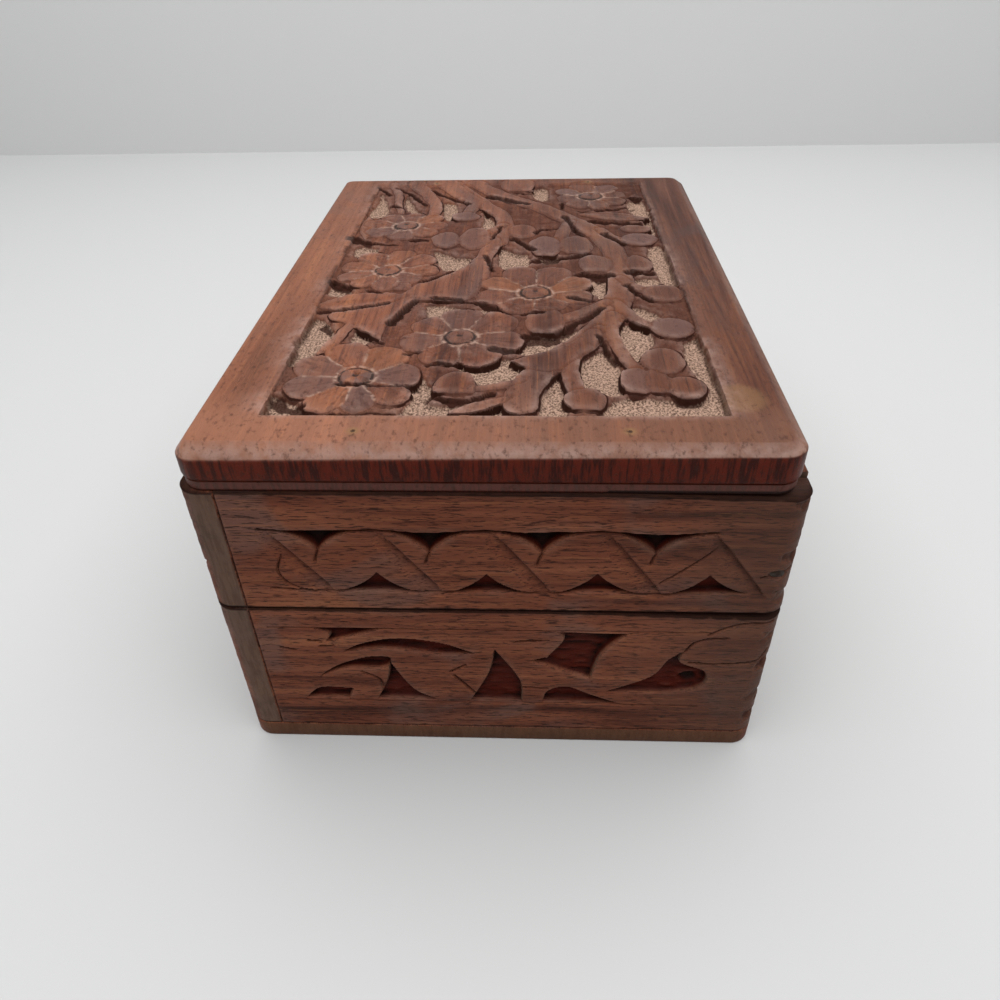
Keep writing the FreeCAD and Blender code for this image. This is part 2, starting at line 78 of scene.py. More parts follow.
def lattice_noise(x: np.ndarray, y: np.ndarray, seed: int) -> np.ndarray:
    """Smooth noise between -1 and 1 that repeats every 64 steps.

    Args:
        x: First coordinate, one bump to a unit.
        y: Second coordinate.
        seed: Choice of the noise.

    Returns:
        One value for each place.
    """
    size = 64
    table = np.random.default_rng(seed).uniform(-1.0, 1.0, (size, size))
    i, j = np.floor(x).astype(int), np.floor(y).astype(int)
    share_x, share_y = ramp(0.0, 1.0, x - i), ramp(0.0, 1.0, y - j)
    rows = []
    for step in (0, 1):
        left = table[i % size, (j + step) % size]
        right = table[(i + 1) % size, (j + step) % size]
        rows.append(left * (1 - share_x) + right * share_x)
    return rows[0] * (1 - share_y) + rows[1] * share_y


def curve(points: Sequence[Pair], steps: int = 7) -> np.ndarray:
    """Smooth line through drawn points.

    Args:
        points: Places that the line passes through.
        steps: Samples between two of them.

    Returns:
        Points along the line.
    """
    drawn = np.asarray(points, float)
    ends = np.vstack([2 * drawn[0] - drawn[1], drawn, 2 * drawn[-1] - drawn[-2]])
    line = []
    for k in range(len(drawn) - 1):
        before, start, end, after = ends[k:k + 4]
        for t in np.arange(steps) / steps:
            bend = (2 * before - 5 * start + 4 * end - after) * t ** 2
            turn = (3 * start - before - 3 * end + after) * t ** 3
            line.append(0.5 * (2 * start + (end - before) * t + bend + turn))
    line.append(drawn[-1])
    return np.array(line)


def ribbon(x: np.ndarray, y: np.ndarray, line: np.ndarray, start: float,
           end: float) -> Tuple[np.ndarray, np.ndarray]:
    """Measure of a ribbon whose width changes evenly along a line.

    Args:
        x: First drawing coordinate of each place.
        y: Second drawing coordinate.
        line: Points of the centreline.
        start: Width at the first point.
        end: Width at the last point.

    Returns:
        Distance inside the ribbon's edge, and offset from the centreline as a share of the half width.
    """
    runs = np.hypot(*np.diff(line, axis=0).T)
    reached = np.concatenate([[0.0], np.cumsum(runs)]) / runs.sum()
    near = np.full(x.shape, 1e9)
    half = np.ones(x.shape)
    side = np.ones(x.shape)
    for k, (first, last) in enumerate(zip(line[:-1], line[1:])):
        way = last - first
        share = np.clip(((x - first[0]) * way[0] + (y - first[1]) * way[1]) / (way @ way), 0.0, 1.0)
        off_x, off_y = x - first[0] - share * way[0], y - first[1] - share * way[1]
        distance = np.hypot(off_x, off_y)
        closer = distance < near
        along = reached[k] + share * (reached[k + 1] - reached[k])
        near = np.where(closer, distance, near)
        half = np.where(closer, (start + (end - start) * along) / 2, half)
        side = np.where(closer, np.sign(way[0] * off_y - way[1] * off_x), side)
    return half - near, side * near / half


def polygon(x: np.ndarray, y: np.ndarray, corners: Sequence[Pair]) -> np.ndarray:
    """Distance inside a closed outline, below zero outside it.

    Args:
        x: First drawing coordinate of each place.
        y: Second drawing coordinate.
        corners: Corners of the outline in turn.

    Returns:
        One distance for each place.
    """
    drawn = np.asarray(corners, float)
    near = np.full(x.shape, 1e9)
    within = np.zeros(x.shape, bool)
    for (ax, ay), (bx, by) in zip(drawn, np.roll(drawn, -1, axis=0)):
        way_x, way_y = bx - ax, by - ay
        share = ((x - ax) * way_x + (y - ay) * way_y) / (way_x ** 2 + way_y ** 2)
        share = np.clip(share, 0.0, 1.0)
        near = np.minimum(near, np.hypot(x - ax - share * way_x, y - ay - share * way_y))
        if way_y:
            within ^= ((ay > y) != (by > y)) & (x < ax + way_x * (y - ay) / way_y)
    return np.where(within, near, -near)


def loop(points: Sequence[Pair], steps: int = 5) -> np.ndarray:
    """Smooth closed outline through drawn points, with a corner where a point is given twice.

    Args:
        points: Places that the outline passes through, in turn.
        steps: Samples between two of them.

    Returns:
        Corners of the outline as short runs.
    """
    drawn = list(points)
    line = curve([drawn[-1], *drawn, drawn[0], drawn[1]], steps)[steps:-steps - 1]
    return line[np.hypot(*(line - np.roll(line, 1, axis=0)).T) > 1e-6]


def blurred(grid: np.ndarray, reach: int) -> np.ndarray:
    """Grid averaged with its neighbours, twice over, in both directions."""
    for axis in (0, 1, 0, 1):
        padded = np.pad(grid, [(reach, reach) if a == axis else (0, 0) for a in (0, 1)], mode="edge")
        count = grid.shape[axis]
        grid = sum(np.take(padded, np.arange(k, k + count), axis) for k in range(2 * reach + 1))
        grid = grid / (2 * reach + 1)
    return grid


class Side(Enum):
    """Sides of the box, as their turn about Z from the front in degrees."""

    FRONT = 0
    RIGHT = 90
    BACK = 180
    LEFT = 270


class Grain(Enum):
    """Directions that a board's grain runs in, as the turn of its pattern in degrees."""

    ALONG_X = 0
    ALONG_Y = 90


@dataclass(frozen=True)
class BoxSizes:
    """Main sizes of the box in millimetres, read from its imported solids."""

    length: float
    width: float
    wall: float
    corner: float
    base_low: float
    base_high: float
    back_high: float
    split: float
    rail_high: float
    top: float
    gap_run: float = 28.0
    low_run: float = 32.0
    low_drop: float = 0.9

    @classmethod
    def from_frame(cls) -> "BoxSizes":
        """Read the sizes from the frame's nodes."""
        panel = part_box("base_bottom_panel")
        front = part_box("base_front_board")
        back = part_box("base_back_board")
        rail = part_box("lid_front_rail")
        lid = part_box("lid_top_panel")
        span = (panel[1] - panel[0]) / MM
        return cls(
            length=span.x, width=span.y, wall=(front[1].y - front[0].y) / MM, corner=4.0,
            base_low=front[0].z / MM, base_high=front[1].z / MM, back_high=back[1].z / MM,
            split=rail[0].z / MM, rail_high=rail[1].z / MM, top=lid[1].z / MM,
        )

    def base_edge(self, y: np.ndarray) -> np.ndarray:
        """Height of the tray's top edge at a distance from the middle, lower towards the back."""
        seat = self.width / 2 - self.wall
        return np.interp(y, [seat - self.gap_run, seat], [self.base_high, self.back_high])

    def rail_edge(self, y: np.ndarray) -> np.ndarray:
        """Height of the right rail's top edge, which dips at its back corner."""
        back = self.width / 2
        return np.interp(y, [back - self.low_run, back], [self.rail_high, self.rail_high - self.low_drop])


class NodeSketch:
    """Short way to place and join shader nodes in one tree."""

    def __init__(self, tree: bpy.types.NodeTree) -> None:
        """Keep the tree to draw in."""
        self.tree = tree

    def add(self, kind: str, values: Optional[Dict] = None, **settings: object) -> Node:
        """Place a node.

        Args:
            kind: Blender's name of the node type.
            values: Input name or number to a value or to a socket that feeds it.
            settings: Other properties of the node.

        Returns:
            The node.
        """
        node = self.tree.nodes.new(kind)
        for name, value in settings.items():
            setattr(node, name, value)
        for key, value in (values or {}).items():
            if isinstance(value, Socket):
                self.tree.links.new(value, node.inputs[key])
            else:
                node.inputs[key].default_value = value
        return node

    def math(self, way: str, first: object, second: object = 0.0) -> Socket:
        """Result of a sum on two values, kept between 0 and 1."""
        node = self.add("ShaderNodeMath", {0: first, 1: second}, operation=way, use_clamp=True)
        return node.outputs[0]

    def times(self, first: object, second: object) -> Socket:
        """Product of two values, kept between 0 and 1."""
        return self.math("MULTIPLY", first, second)

    def axes(self, vector: Socket) -> Outputs:
        """Three parts of a vector."""
        return self.add("ShaderNodeSeparateXYZ", {0: vector}).outputs

    def mask(self, name: str) -> Socket:
        """Mask that the mesh carries under a name."""
        return self.add("ShaderNodeAttribute", attribute_name=name).outputs["Fac"]

    def remap(self, value: object, low: float, high: float, to_low: float = 0.0,
              to_high: float = 1.0) -> Socket:
        """Value moved smoothly from one span to another."""
        spans = {"Value": value, "From Min": low, "From Max": high, "To Min": to_low, "To Max": to_high}
        return self.add("ShaderNodeMapRange", spans, interpolation_type="SMOOTHSTEP").outputs[0]

    def mix(self, share: object, first: object, second: object, way: str = "MIX") -> Socket:
        """Blend of two colours.

        Args:
            share: How much of the second, from 0 to 1.
            first: Colour or socket.
            second: Colour or socket.
            way: Blender's name of the blend.

        Returns:
            The blended colour's socket.
        """
        colours = [c if isinstance(c, Socket) else (*c, 1.0) for c in (first, second)]
        node = self.add("ShaderNodeMix", {0: share, 6: colours[0], 7: colours[1]},
                        data_type="RGBA", blend_type=way)
        return node.outputs[2]

    def noise(self, vector: object, stretch: Spot, detail: float,
              roughness: float = 0.55, distortion: float = 0.0) -> Socket:
        """Noise between 0 and 1 with its own bumps per metre along each axis."""
        scaled = self.add("ShaderNodeVectorMath", {0: vector, 1: stretch}, operation="MULTIPLY")
        values = {"Vector": scaled.outputs[0], "Scale": 1.0, "Detail": detail,
                  "Roughness": roughness, "Distortion": distortion}
        return self.add("ShaderNodeTexNoise", values).outputs["Fac"]

    def bands(self, value: object, stops: Sequence[Tuple[float, Colour]]) -> Socket:
        """Colour read from a row of stops."""
        node = self.add("ShaderNodeValToRGB", {"Fac": value})
        elements = node.color_ramp.elements
        while len(elements) < len(stops):
            elements.new(1.0)
        for element, (place, colour) in zip(elements, stops):
            element.position = place
            element.color = (*colour, 1.0)
        return node.outputs["Color"]


class EffectGroup:
    """Shader node group with named sockets, built once."""

    def __init__(self, name: str, inputs: Dict[str, str], outputs: Dict[str, str]) -> None:
        """Make the group and its sockets.

        Args:
            name: Name of the group.
            inputs: Input names with the socket kinds.
            outputs: Output names with the socket kinds.
        """
        self.tree = bpy.data.node_groups.new(name, "ShaderNodeTree")
        for way, sockets in (("INPUT", inputs), ("OUTPUT", outputs)):
            for socket, kind in sockets.items():
                self.tree.interface.new_socket(socket, in_out=way, socket_type="NodeSocket" + kind)
        self.sketch = NodeSketch(self.tree)
        self.given = self.sketch.add("NodeGroupInput").outputs
        self.result = self.sketch.add("NodeGroupOutput").inputs

    def put(self, name: str, socket: Socket) -> None:
        """Feed one of the group's outputs."""
        self.tree.links.new(socket, self.result[name])


@lru_cache(maxsize=None)
def grain_group() -> bpy.types.NodeTree:
    """Rosewood figure along X: streaks, pores and broad patches."""
    group = EffectGroup("rosewood_grain", {"Vector": "Vector"},
                        {"Streak": "Float", "Pores": "Float", "Patch": "Float", "Fibre": "Float"})
    draw, vector = group.sketch, group.given["Vector"]
    group.put("Streak", draw.noise(vector, (11.0, 150.0, 150.0), 6.0, 0.62, 0.9))
    pores = draw.noise(vector, (520.0, 5200.0, 5200.0), 2.0, 0.5)
    group.put("Pores", draw.remap(pores, 0.55, 0.66))
    group.put("Fibre", draw.noise(vector, (55.0, 1700.0, 1700.0), 3.0, 0.65))
    group.put("Patch", draw.noise(vector, (45.0, 75.0, 75.0), 3.0, 0.55, 0.6))
    return group.tree


@lru_cache(maxsize=None)
def wear_shade_group() -> bpy.types.NodeTree:
    """Rims paled by rubbing, with a painted sheen on the lid's bevel, and painted shade in the hollows,
    from masks that the mesh carries.
    """
    group = EffectGroup(
        "wear_and_painted_shade",
        {"Color": "Color", "Worn": "Color", "Grime": "Color", "Rim": "Float", "Pit": "Float",
         "Vector": "Vector"},
        {"Color": "Color", "Hollow": "Float"})
    draw, given = group.sketch, group.given
    blotch = draw.noise(given["Vector"], (420.0, 420.0, 420.0), 3.0)
    rubbed_and_sheen = draw.times(given["Rim"], draw.remap(blotch, 0.3, 0.65, 0.25, 0.9))
    worn = draw.mix(rubbed_and_sheen, given["Color"], given["Worn"])
    # Hollows and joints take painted shade here, through the pit mask.
    group.put("Color", draw.mix(given["Pit"], worn, given["Grime"]))
    group.put("Hollow", given["Pit"])
    return group.tree


@lru_cache(maxsize=None)
def boss_group() -> bpy.types.NodeTree:
    """Painted shade in the ring groove and eye of a flower's boss, dust beside the ring and veins on the
    petals.
    """
    group = EffectGroup("flower_boss", {"Vector": "Vector", "Centre": "Vector", "Radius": "Float"},
                        {"Dark": "Float", "Dust": "Float", "Vein": "Float"})
    draw, given = group.sketch, group.given
    flat = draw.add("ShaderNodeVectorMath", {0: given["Vector"], 1: (1.0, 1.0, 0.0)}, operation="MULTIPLY")
    off = draw.add("ShaderNodeVectorMath", {0: flat.outputs[0], 1: given["Centre"]}, operation="SUBTRACT")
    far = draw.add("ShaderNodeVectorMath", {0: off.outputs[0]}, operation="LENGTH").outputs["Value"]
    over = draw.add("ShaderNodeMath", {0: far, 1: given["Radius"]}, operation="SUBTRACT").outputs[0]
    rough = draw.noise(flat.outputs[0], (900.0, 900.0, 900.0), 2.0)
    ring = draw.remap(draw.math("ABSOLUTE", over), 0.00036, 0.00016)
    eye = draw.remap(far, 0.00075, 0.00045)
    group.put("Dark", draw.times(draw.math("MAXIMUM", ring, eye), draw.remap(rough, 0.3, 0.5)))
    beside = draw.remap(over, 0.0003, 0.0006)
    beside = draw.times(beside, draw.remap(over, 0.0014, 0.0006))
    group.put("Dust", draw.times(beside, draw.remap(rough, 0.65, 0.4)))
    sides = draw.axes(off.outputs[0])
    angle = draw.add("ShaderNodeMath", {0: sides[0], 1: sides[1]}, operation="ARCTAN2").outputs[0]
    place = draw.add("ShaderNodeCombineXYZ", {0: angle, 1: far, 2: given["Radius"]}).outputs[0]
    veins = draw.remap(draw.noise(place, (9.0, 160.0, 5000.0), 3.0, 0.6), 0.52, 0.68)
    on_petal = draw.times(draw.remap(over, 0.0006, 0.0020), draw.remap(far, 0.0130, 0.0110))
    group.put("Vein", draw.times(veins, on_petal))
    return group.tree


def bare_material(name: str) -> Tuple[bpy.types.Material, NodeSketch, Node]:
    """Start a material whose tree is empty but for its texture coordinates.

    Args:
        name: Name of the material.

    Returns:
        The material, the sketch of its tree and the coordinates' node.
    """
    made = bpy.data.materials.new(name)
    made.use_nodes = True
    made.node_tree.nodes.clear()
    draw = NodeSketch(made.node_tree)
    return made, draw, draw.add("ShaderNodeTexCoord")


@dataclass(frozen=True)
class RosewoodFinish:
    """Oiled rosewood of a wall board, its grain along X or Y, with painted shade in its cuts, hollows and
    joints.
    """

    name: str
    grain: Grain
    dark: Colour = (0.036, 0.011, 0.007)
    middle: Colour = (0.124, 0.036, 0.019)
    bright: Colour = (0.184, 0.060, 0.031)
    orange: Colour = (0.260, 0.095, 0.042)
    grey: Colour = (0.114, 0.064, 0.052)
    end_grain: Colour = (0.110, 0.070, 0.049)
    end_dark: Colour = (0.080, 0.049, 0.034)
    # Rims paled by rubbing; the lid's own value also paints a sheen on its bevel.
    worn: Colour = (0.190, 0.104, 0.072)
    # Near-black of dark pores and nail heads, also used as painted shade in hollows and joints.
    grime: Colour = (0.010, 0.004, 0.003)
    # Painted shade: a dark red that deepens the carved floors with the cut's depth, and a near-black for
    # the deepest cuts.
    recess: Colour = (0.054, 0.004, 0.001)
    void_shade: Colour = (0.006, 0.002, 0.001)
    # Painted shade that darkens the end boards towards the back.
    back_shade: Colour = (0.053, 0.031, 0.023)
    shine: float = 0.46
    gloss: float = 0.07
    pore_share: float = 0.75

    @lru_cache(maxsize=None)
    def material(self) -> bpy.types.Material:
        """Build the material once for all the pieces that share this finish."""
        made, draw, place = bare_material(self.name)
        turn = (0.0, 0.0, math.radians(self.grain.value))
        along = draw.add("ShaderNodeMapping", {"Vector": place.outputs["Object"], "Rotation": turn})
        vector = along.outputs[0]
        figure = draw.add("ShaderNodeGroup", {"Vector": vector}, node_tree=grain_group())
        colour, rough, height = self.paint(draw, place, vector, figure.outputs)
        bump = draw.add("ShaderNodeBump", {"Height": height, "Strength": 0.35, "Distance": 0.0003})
        shader = draw.add("ShaderNodeBsdfPrincipled", {
            "Base Color": colour, "Roughness": rough, "Normal": bump.outputs[0],
            "Specular IOR Level": self.gloss})
        draw.add("ShaderNodeOutputMaterial", {"Surface": shader.outputs[0]})
        return made

    def wood(self, draw: NodeSketch, place: Node, figure: Outputs) -> Socket:
        """Colour of the clean wood.

        Args:
            draw: Sketch of the material's tree.
            place: Texture coordinates.
            figure: Outputs of the grain group.

        Returns:
            Socket of the colour.
        """
        tone = draw.bands(figure["Streak"], [(0.30, self.dark), (0.46, self.middle),
                                             (0.60, self.bright), (0.74, self.orange)])
        tone = draw.mix(draw.remap(figure["Patch"], 0.50, 0.68, 0.0, 0.6), tone, self.grey)
        tone = draw.mix(draw.remap(figure["Fibre"], 0.52, 0.72, 0.0, 0.45), tone, self.orange)
        tone = draw.mix(draw.remap(figure["Fibre"], 0.48, 0.28, 0.0, 0.6), tone, self.dark)
        tone = draw.mix(draw.times(figure["Pores"], self.pore_share), tone, self.grime)
        facing = draw.axes(place.outputs["Normal"])[0 if self.grain is Grain.ALONG_X else 1]
        across = draw.remap(draw.math("ABSOLUTE", facing), 0.75, 0.97, 0.0, 0.85)
        return draw.mix(across, tone, self.sawn_end(draw, place))

    def sawn_end(self, draw: NodeSketch, place: Node) -> Socket:
        """Colour of end grain, with fine upright streaks."""
        upright = draw.noise(place.outputs["Object"], (1300.0, 1300.0, 190.0), 3.0, 0.6)
        return draw.mix(draw.remap(upright, 0.42, 0.62), self.end_grain, self.end_dark)

    def paint(self, draw: NodeSketch, place: Node, vector: Socket,
              figure: Outputs) -> Tuple[Socket, ...]:
        """Colour, roughness and bump height of the surface.

        Args:
            draw: Sketch of the material's tree.
            place: Texture coordinates.
            vector: Coordinates with X along the grain.
            figure: Outputs of the grain group.

        Returns:
            Sockets of the colour, the roughness and the height.
        """
        cut = draw.mask("cut")
        wood = self.wood(draw, place, figure)
        if self.grain is Grain.ALONG_Y:
            back = draw.axes(place.outputs["Object"])[1]
            # Painted shade towards the back of the end boards.
            wood = draw.mix(draw.remap(back, 0.018, 0.050, 0.0, 0.6), wood, self.back_shade)
        # Painted shade in the carving, darker with the depth of the cut.
        wood = draw.mix(draw.remap(cut, 0.22, 0.62, 0.0, 0.95), wood, self.recess)
        wood = draw.mix(draw.remap(cut, 0.85, 1.25), wood, self.void_shade)
        wear_and_shade = self.wear_and_shade(draw, vector, wood)
        rough = draw.remap(figure["Streak"], 0.3, 0.7, self.shine + 0.14, self.shine)
        rough = draw.math("MAXIMUM", rough, wear_and_shade.outputs["Hollow"])
        return wear_and_shade.outputs["Color"], rough, figure["Pores"]

    def wear_and_shade(self, draw: NodeSketch, vector: Socket, colour: Socket) -> Node:
        """Group that pales rims and paints sheen and shade over a colour, fed by the mesh's own masks."""
        values = {"Color": colour, "Vector": vector, "Rim": draw.mask("rim"), "Pit": draw.mask("pit"),
                  "Worn": (*self.worn, 1.0), "Grime": (*self.grime, 1.0)}
        return draw.add("ShaderNodeGroup", values, node_tree=wear_shade_group())


@dataclass(frozen=True)
class LidFinish(RosewoodFinish):
    """Polished rosewood of the lid's top, with a stippled pale ground, painted shade on its cut walls and
    painted light and shade across the top.
    """

    middle: Colour = (0.128, 0.040, 0.021)
    bright: Colour = (0.190, 0.063, 0.031)
    orange: Colour = (0.275, 0.098, 0.039)
    grey: Colour = (0.100, 0.051, 0.042)
    end_grain: Colour = (0.088, 0.010, 0.003)
    end_dark: Colour = (0.030, 0.004, 0.002)
    # Painted sheen along the near end, and painted light on the front side of the top.
    near_sheen: Colour = (0.315, 0.140, 0.085)
    front_light: Colour = (0.205, 0.080, 0.042)
    shine: float = 0.36
    gloss: float = 0.09
    pore_share: float = 0.18
    # Pinkish rims paled by rubbing, and the painted sheen on the bevel rings.
    worn: Colour = (0.310, 0.200, 0.165)
    stipple: Colour = (0.350, 0.225, 0.165)
    stipple_dark: Colour = (0.085, 0.048, 0.034)
    # Painted shade, with some dirt, on the relief's cut walls and in its knife cuts.
    wall: Colour = (0.024, 0.007, 0.004)
    dust: Colour = (0.360, 0.235, 0.180)
    filler: Colour = (0.200, 0.105, 0.045)
    bosses: Tuple[Spot, ...] = ()

    def flowers(self, draw: NodeSketch, place: Node) -> Dict[str, object]:
        """Marks of all the flowers, each kind the strongest of any flower.

        Args:
            draw: Sketch of the material's tree.
            place: Texture coordinates.

        Returns:
            Mark's name to its socket.
        """
        marks: Dict[str, object] = {"Dark": 0.0, "Dust": 0.0, "Vein": 0.0}
        for x, y, radius in self.bosses:
            values = {"Vector": place.outputs["Object"], "Centre": (x, y, 0.0), "Radius": radius}
            node = draw.add("ShaderNodeGroup", values, node_tree=boss_group())
            marks = {name: draw.math("MAXIMUM", node.outputs[name], mark) for name, mark in marks.items()}
        return marks

    def paint(self, draw: NodeSketch, place: Node, vector: Socket,
              figure: Outputs) -> Tuple[Socket, ...]:
        """Colour, roughness and bump height, with the ground below the relief painted apart.

        Args:
            draw: Sketch of the material's tree.
            place: Texture coordinates.
            vector: Coordinates with X along the grain.
            figure: Outputs of the grain group.

        Returns:
            Sockets of the colour, the roughness and the height.
        """
        names = ("ground", "pale", "edge", "tone", "gouge_shadow", "dust", "fill", "steep", "nose")
        carried = {name: draw.mask(name) for name in names}
        wood = self.painted_light(draw, place, self.wood(draw, place, figure))
        facing = draw.remap(draw.math("ABSOLUTE", draw.axes(place.outputs["Normal"])[0]), 0.35, 0.75)
        nose = draw.mix(facing, draw.mix(0.7, wood, self.end_grain), self.sawn_end(draw, place))
        wood = draw.mix(draw.times(carried["nose"], 0.92), wood, nose)
        wood = draw.mix(draw.remap(carried["tone"], 0.1, 1.0, 0.0, 0.75), wood, self.grey)
        wood = draw.mix(draw.remap(carried["tone"], -0.1, -1.0, 0.0, 0.3), wood, self.orange)
        broken = draw.remap(draw.noise(vector, (500.0, 500.0, 500.0), 2.0), 0.40, 0.60, 0.1, 0.7)
        wood = draw.mix(draw.times(carried["dust"], broken), wood, self.dust)
        wood = draw.mix(draw.times(carried["fill"], 0.75), wood, self.filler)
        wood = draw.mix(draw.remap(carried["fill"], 0.90, 1.0, 0.0, 0.8), wood, self.grime)
        wear_and_shade = self.wear_and_shade(draw, vector, wood)
        mottle = draw.noise(vector, (650.0, 1100.0, 1100.0), 4.0, 0.65)
        stained = draw.mix(draw.remap(mottle, 0.52, 0.72, 0.0, 0.6), wear_and_shade.outputs["Color"], self.dark)
        above = draw.remap(draw.axes(place.outputs["Object"])[2], 0.0670, 0.0680)
        marks = {name: draw.times(mark, above) for name, mark in self.flowers(draw, place).items()}
        # The Dark coat is painted shade in each boss's ring groove and eye.
        coats = (("Vein", 0.45, self.dark), ("Dust", 0.6, self.dust), ("Dark", 0.85, self.grime))
        for name, share, coat in coats:
            stained = draw.mix(draw.times(marks[name], share), stained, coat)
        grit = draw.noise(place.outputs["Object"], (2600.0, 2600.0, 2600.0), 3.0, 0.7)
        speckle = draw.remap(grit, 0.38, 0.58)
        brown = draw.mix(draw.remap(speckle, 0.0, 1.0, 0.22, 0.04), stained, self.wall)
        pale = draw.remap(carried["pale"], 0.3, 0.7)
        ground = draw.mix(pale, brown, draw.mix(speckle, self.stipple_dark, self.stipple))
        low = draw.times(carried["ground"], draw.remap(carried["edge"], -0.32, -0.50))
        colour = draw.mix(low, stained, ground)
        # Painted shade on the walls between the motifs' tops and the ground, weighted by the steep mask.
        fallen = draw.times(draw.remap(carried["edge"], -0.02, -0.12), carried["ground"])
        inner = draw.math("SUBTRACT", fallen, low)
        colour = draw.mix(draw.times(inner, carried["steep"]), colour, self.wall)
        # Painted shadow in the listed knife cuts, along the field's sides and on the motifs' near sides.
        colour = draw.mix(draw.times(carried["gouge_shadow"], 0.9), colour, self.wall)
        rough = draw.remap(figure["Streak"], 0.3, 0.7, self.shine + 0.12, self.shine)
        deep = draw.math("MAXIMUM", draw.times(low, 0.95), inner)
        rough = draw.math("MAXIMUM", rough, deep)
        pores = draw.times(figure["Pores"], 0.2)
        return colour, rough, draw.math("ADD", draw.times(low, speckle), pores)

    def painted_light(self, draw: NodeSketch, place: Node, wood: Socket) -> Socket:
        """Painted light and shade on the top: a painted sheen along the near end, painted light on the
        front side, and painted shade darkening it towards the back.

        Args:
            draw: Sketch of the material's tree.
            place: Texture coordinates.
            wood: Colour of the clean wood.

        Returns:
            Socket of the colour.
        """
        axes = draw.axes(place.outputs["Object"])
        top = draw.remap(axes[2], 0.0685, 0.0705)
        near = draw.times(draw.remap(axes[0], 0.050, 0.064, 0.0, 0.5), top)
        wood = draw.mix(near, wood, self.near_sheen)
        wood = draw.mix(draw.remap(axes[1], -0.025, -0.043, 0.0, 0.4), wood, self.front_light)
        # Painted shade, darker towards the back.
        return draw.mix(draw.remap(axes[1], -0.030, 0.040, 0.0, 0.82), wood, (0.45, 0.45, 0.45), "MULTIPLY")


@dataclass(frozen=True)
class MetalFinish:
    """Aged metal of the hinges and nails."""

    name: str
    bright: Colour
    dull: Colour
    metallic: float
    roughness: float

    @lru_cache(maxsize=None)
    def material(self) -> bpy.types.Material:
        """Build the material once for all the pieces that share this finish."""
        made, draw, place = bare_material(self.name)
        tarnish = draw.remap(draw.noise(place.outputs["Object"], (350.0, 350.0, 350.0), 4.0), 0.38, 0.64)
        shader = draw.add("ShaderNodeBsdfPrincipled", {
            "Base Color": draw.mix(tarnish, self.bright, self.dull),
            "Roughness": draw.remap(tarnish, 0.0, 1.0, self.roughness, self.roughness + 0.25),
            "Metallic": self.metallic})
        draw.add("ShaderNodeOutputMaterial", {"Surface": shader.outputs[0]})
        return made


class Sheet:
    """Fine grid that is cut, bent and closed into one piece of wood."""

    MASKS = ("cut", "ground", "pale", "edge", "tone", "rim", "pit", "gouge_shadow", "dust", "fill", "steep",
             "nose")

    def __init__(self, columns: int, rows: int) -> None:
        """Lay the flat grid.

        Args:
            columns: Cells across.
            rows: Cells up.
        """
        self.bm = bmesh.new()
        bmesh.ops.create_grid(self.bm, x_segments=columns, y_segments=rows, size=1.0)
        flat = np.array([vert.co for vert in self.bm.verts])
        self.across = (flat[:, 0] + 1) / 2
        self.upward = (flat[:, 1] + 1) / 2
        self.columns = np.unique(flat[:, 0].round(6), return_inverse=True)[1]
        self.rows = np.unique(flat[:, 1].round(6), return_inverse=True)[1]
        self.layers = {name: self.bm.verts.layers.float.new(name) for name in ("along", "up", *self.MASKS)}
        self.rim_edges = [edge for edge in self.bm.edges if edge.is_boundary]

    def carry(self, **masks: np.ndarray) -> None:
        """Store one value of each mask on every vertex."""
        for name, values in masks.items():
            layer = self.layers[name]
            for vert, value in zip(self.bm.verts, values.tolist()):
                vert[layer] = value

    def as_grid(self, values: np.ndarray) -> np.ndarray:
        """Values of the vertices set out by row and column."""
        grid = np.zeros((self.rows.max() + 1, self.columns.max() + 1))
        grid[self.rows, self.columns] = values
        return grid

    def shade_masks(self, depth: np.ndarray, reach: int, full: float) -> Tuple[np.ndarray, np.ndarray]:
        """Rims that stand proud of their surroundings and hollows that lie below them.

        Args:
            depth: Cut depth of each vertex.
            reach: Size of the surroundings in cells.
            full: Difference that counts as a full rim or hollow.

        Returns:
            Rim and pit masks between 0 and 1.
        """
        grid = self.as_grid(depth)
        lower = ((grid - blurred(grid, reach)) / full)[self.rows, self.columns]
        # The finishes pale the rims and paint shade into the hollows.
        return np.clip(-lower, 0.0, 1.0), np.clip(lower, 0.0, 1.0)

    def place(self, points: np.ndarray) -> None:
        """Move every vertex of the grid to its place, given in millimetres."""
        for vert, point in zip(self.bm.verts, (points * MM).tolist()):
            vert.co = point

    def draw_out(self, where: Callable[[float, float], Spot], **masks: object) -> None:
        """Extrude the rim by one ring.

        Args:
            where: Place in millimetres for a rim vertex's stored along and up values.
            masks: Masks that the ring carries, as numbers or by the same values; the others are 0.
        """
        made = bmesh.ops.extrude_edge_only(self.bm, edges=self.rim_edges)["geom"]
        fresh = {item for item in made if isinstance(item, bmesh.types.BMVert)}
        along, up = self.layers["along"], self.layers["up"]
        for vert in fresh:
            vert.co = Vector(where(vert[along], vert[up])) * MM
            for name in self.MASKS:
                mask = masks.get(name, 0.0)
                vert[self.layers[name]] = mask(vert[along], vert[up]) if callable(mask) else mask
        self.rim_edges = [item for item in made if isinstance(item, bmesh.types.BMEdge)
                          and item.verts[0] in fresh and item.verts[1] in fresh]

    def close(self) -> None:
        """Fill the open rim, merge what coincides and turn the faces outwards."""
        bmesh.ops.edgeloop_fill(self.bm, edges=self.rim_edges)
        bmesh.ops.remove_doubles(self.bm, verts=self.bm.verts, dist=1e-6)
        bmesh.ops.dissolve_degenerate(self.bm, edges=self.bm.edges, dist=1e-7)
        bmesh.ops.recalc_face_normals(self.bm, faces=self.bm.faces)


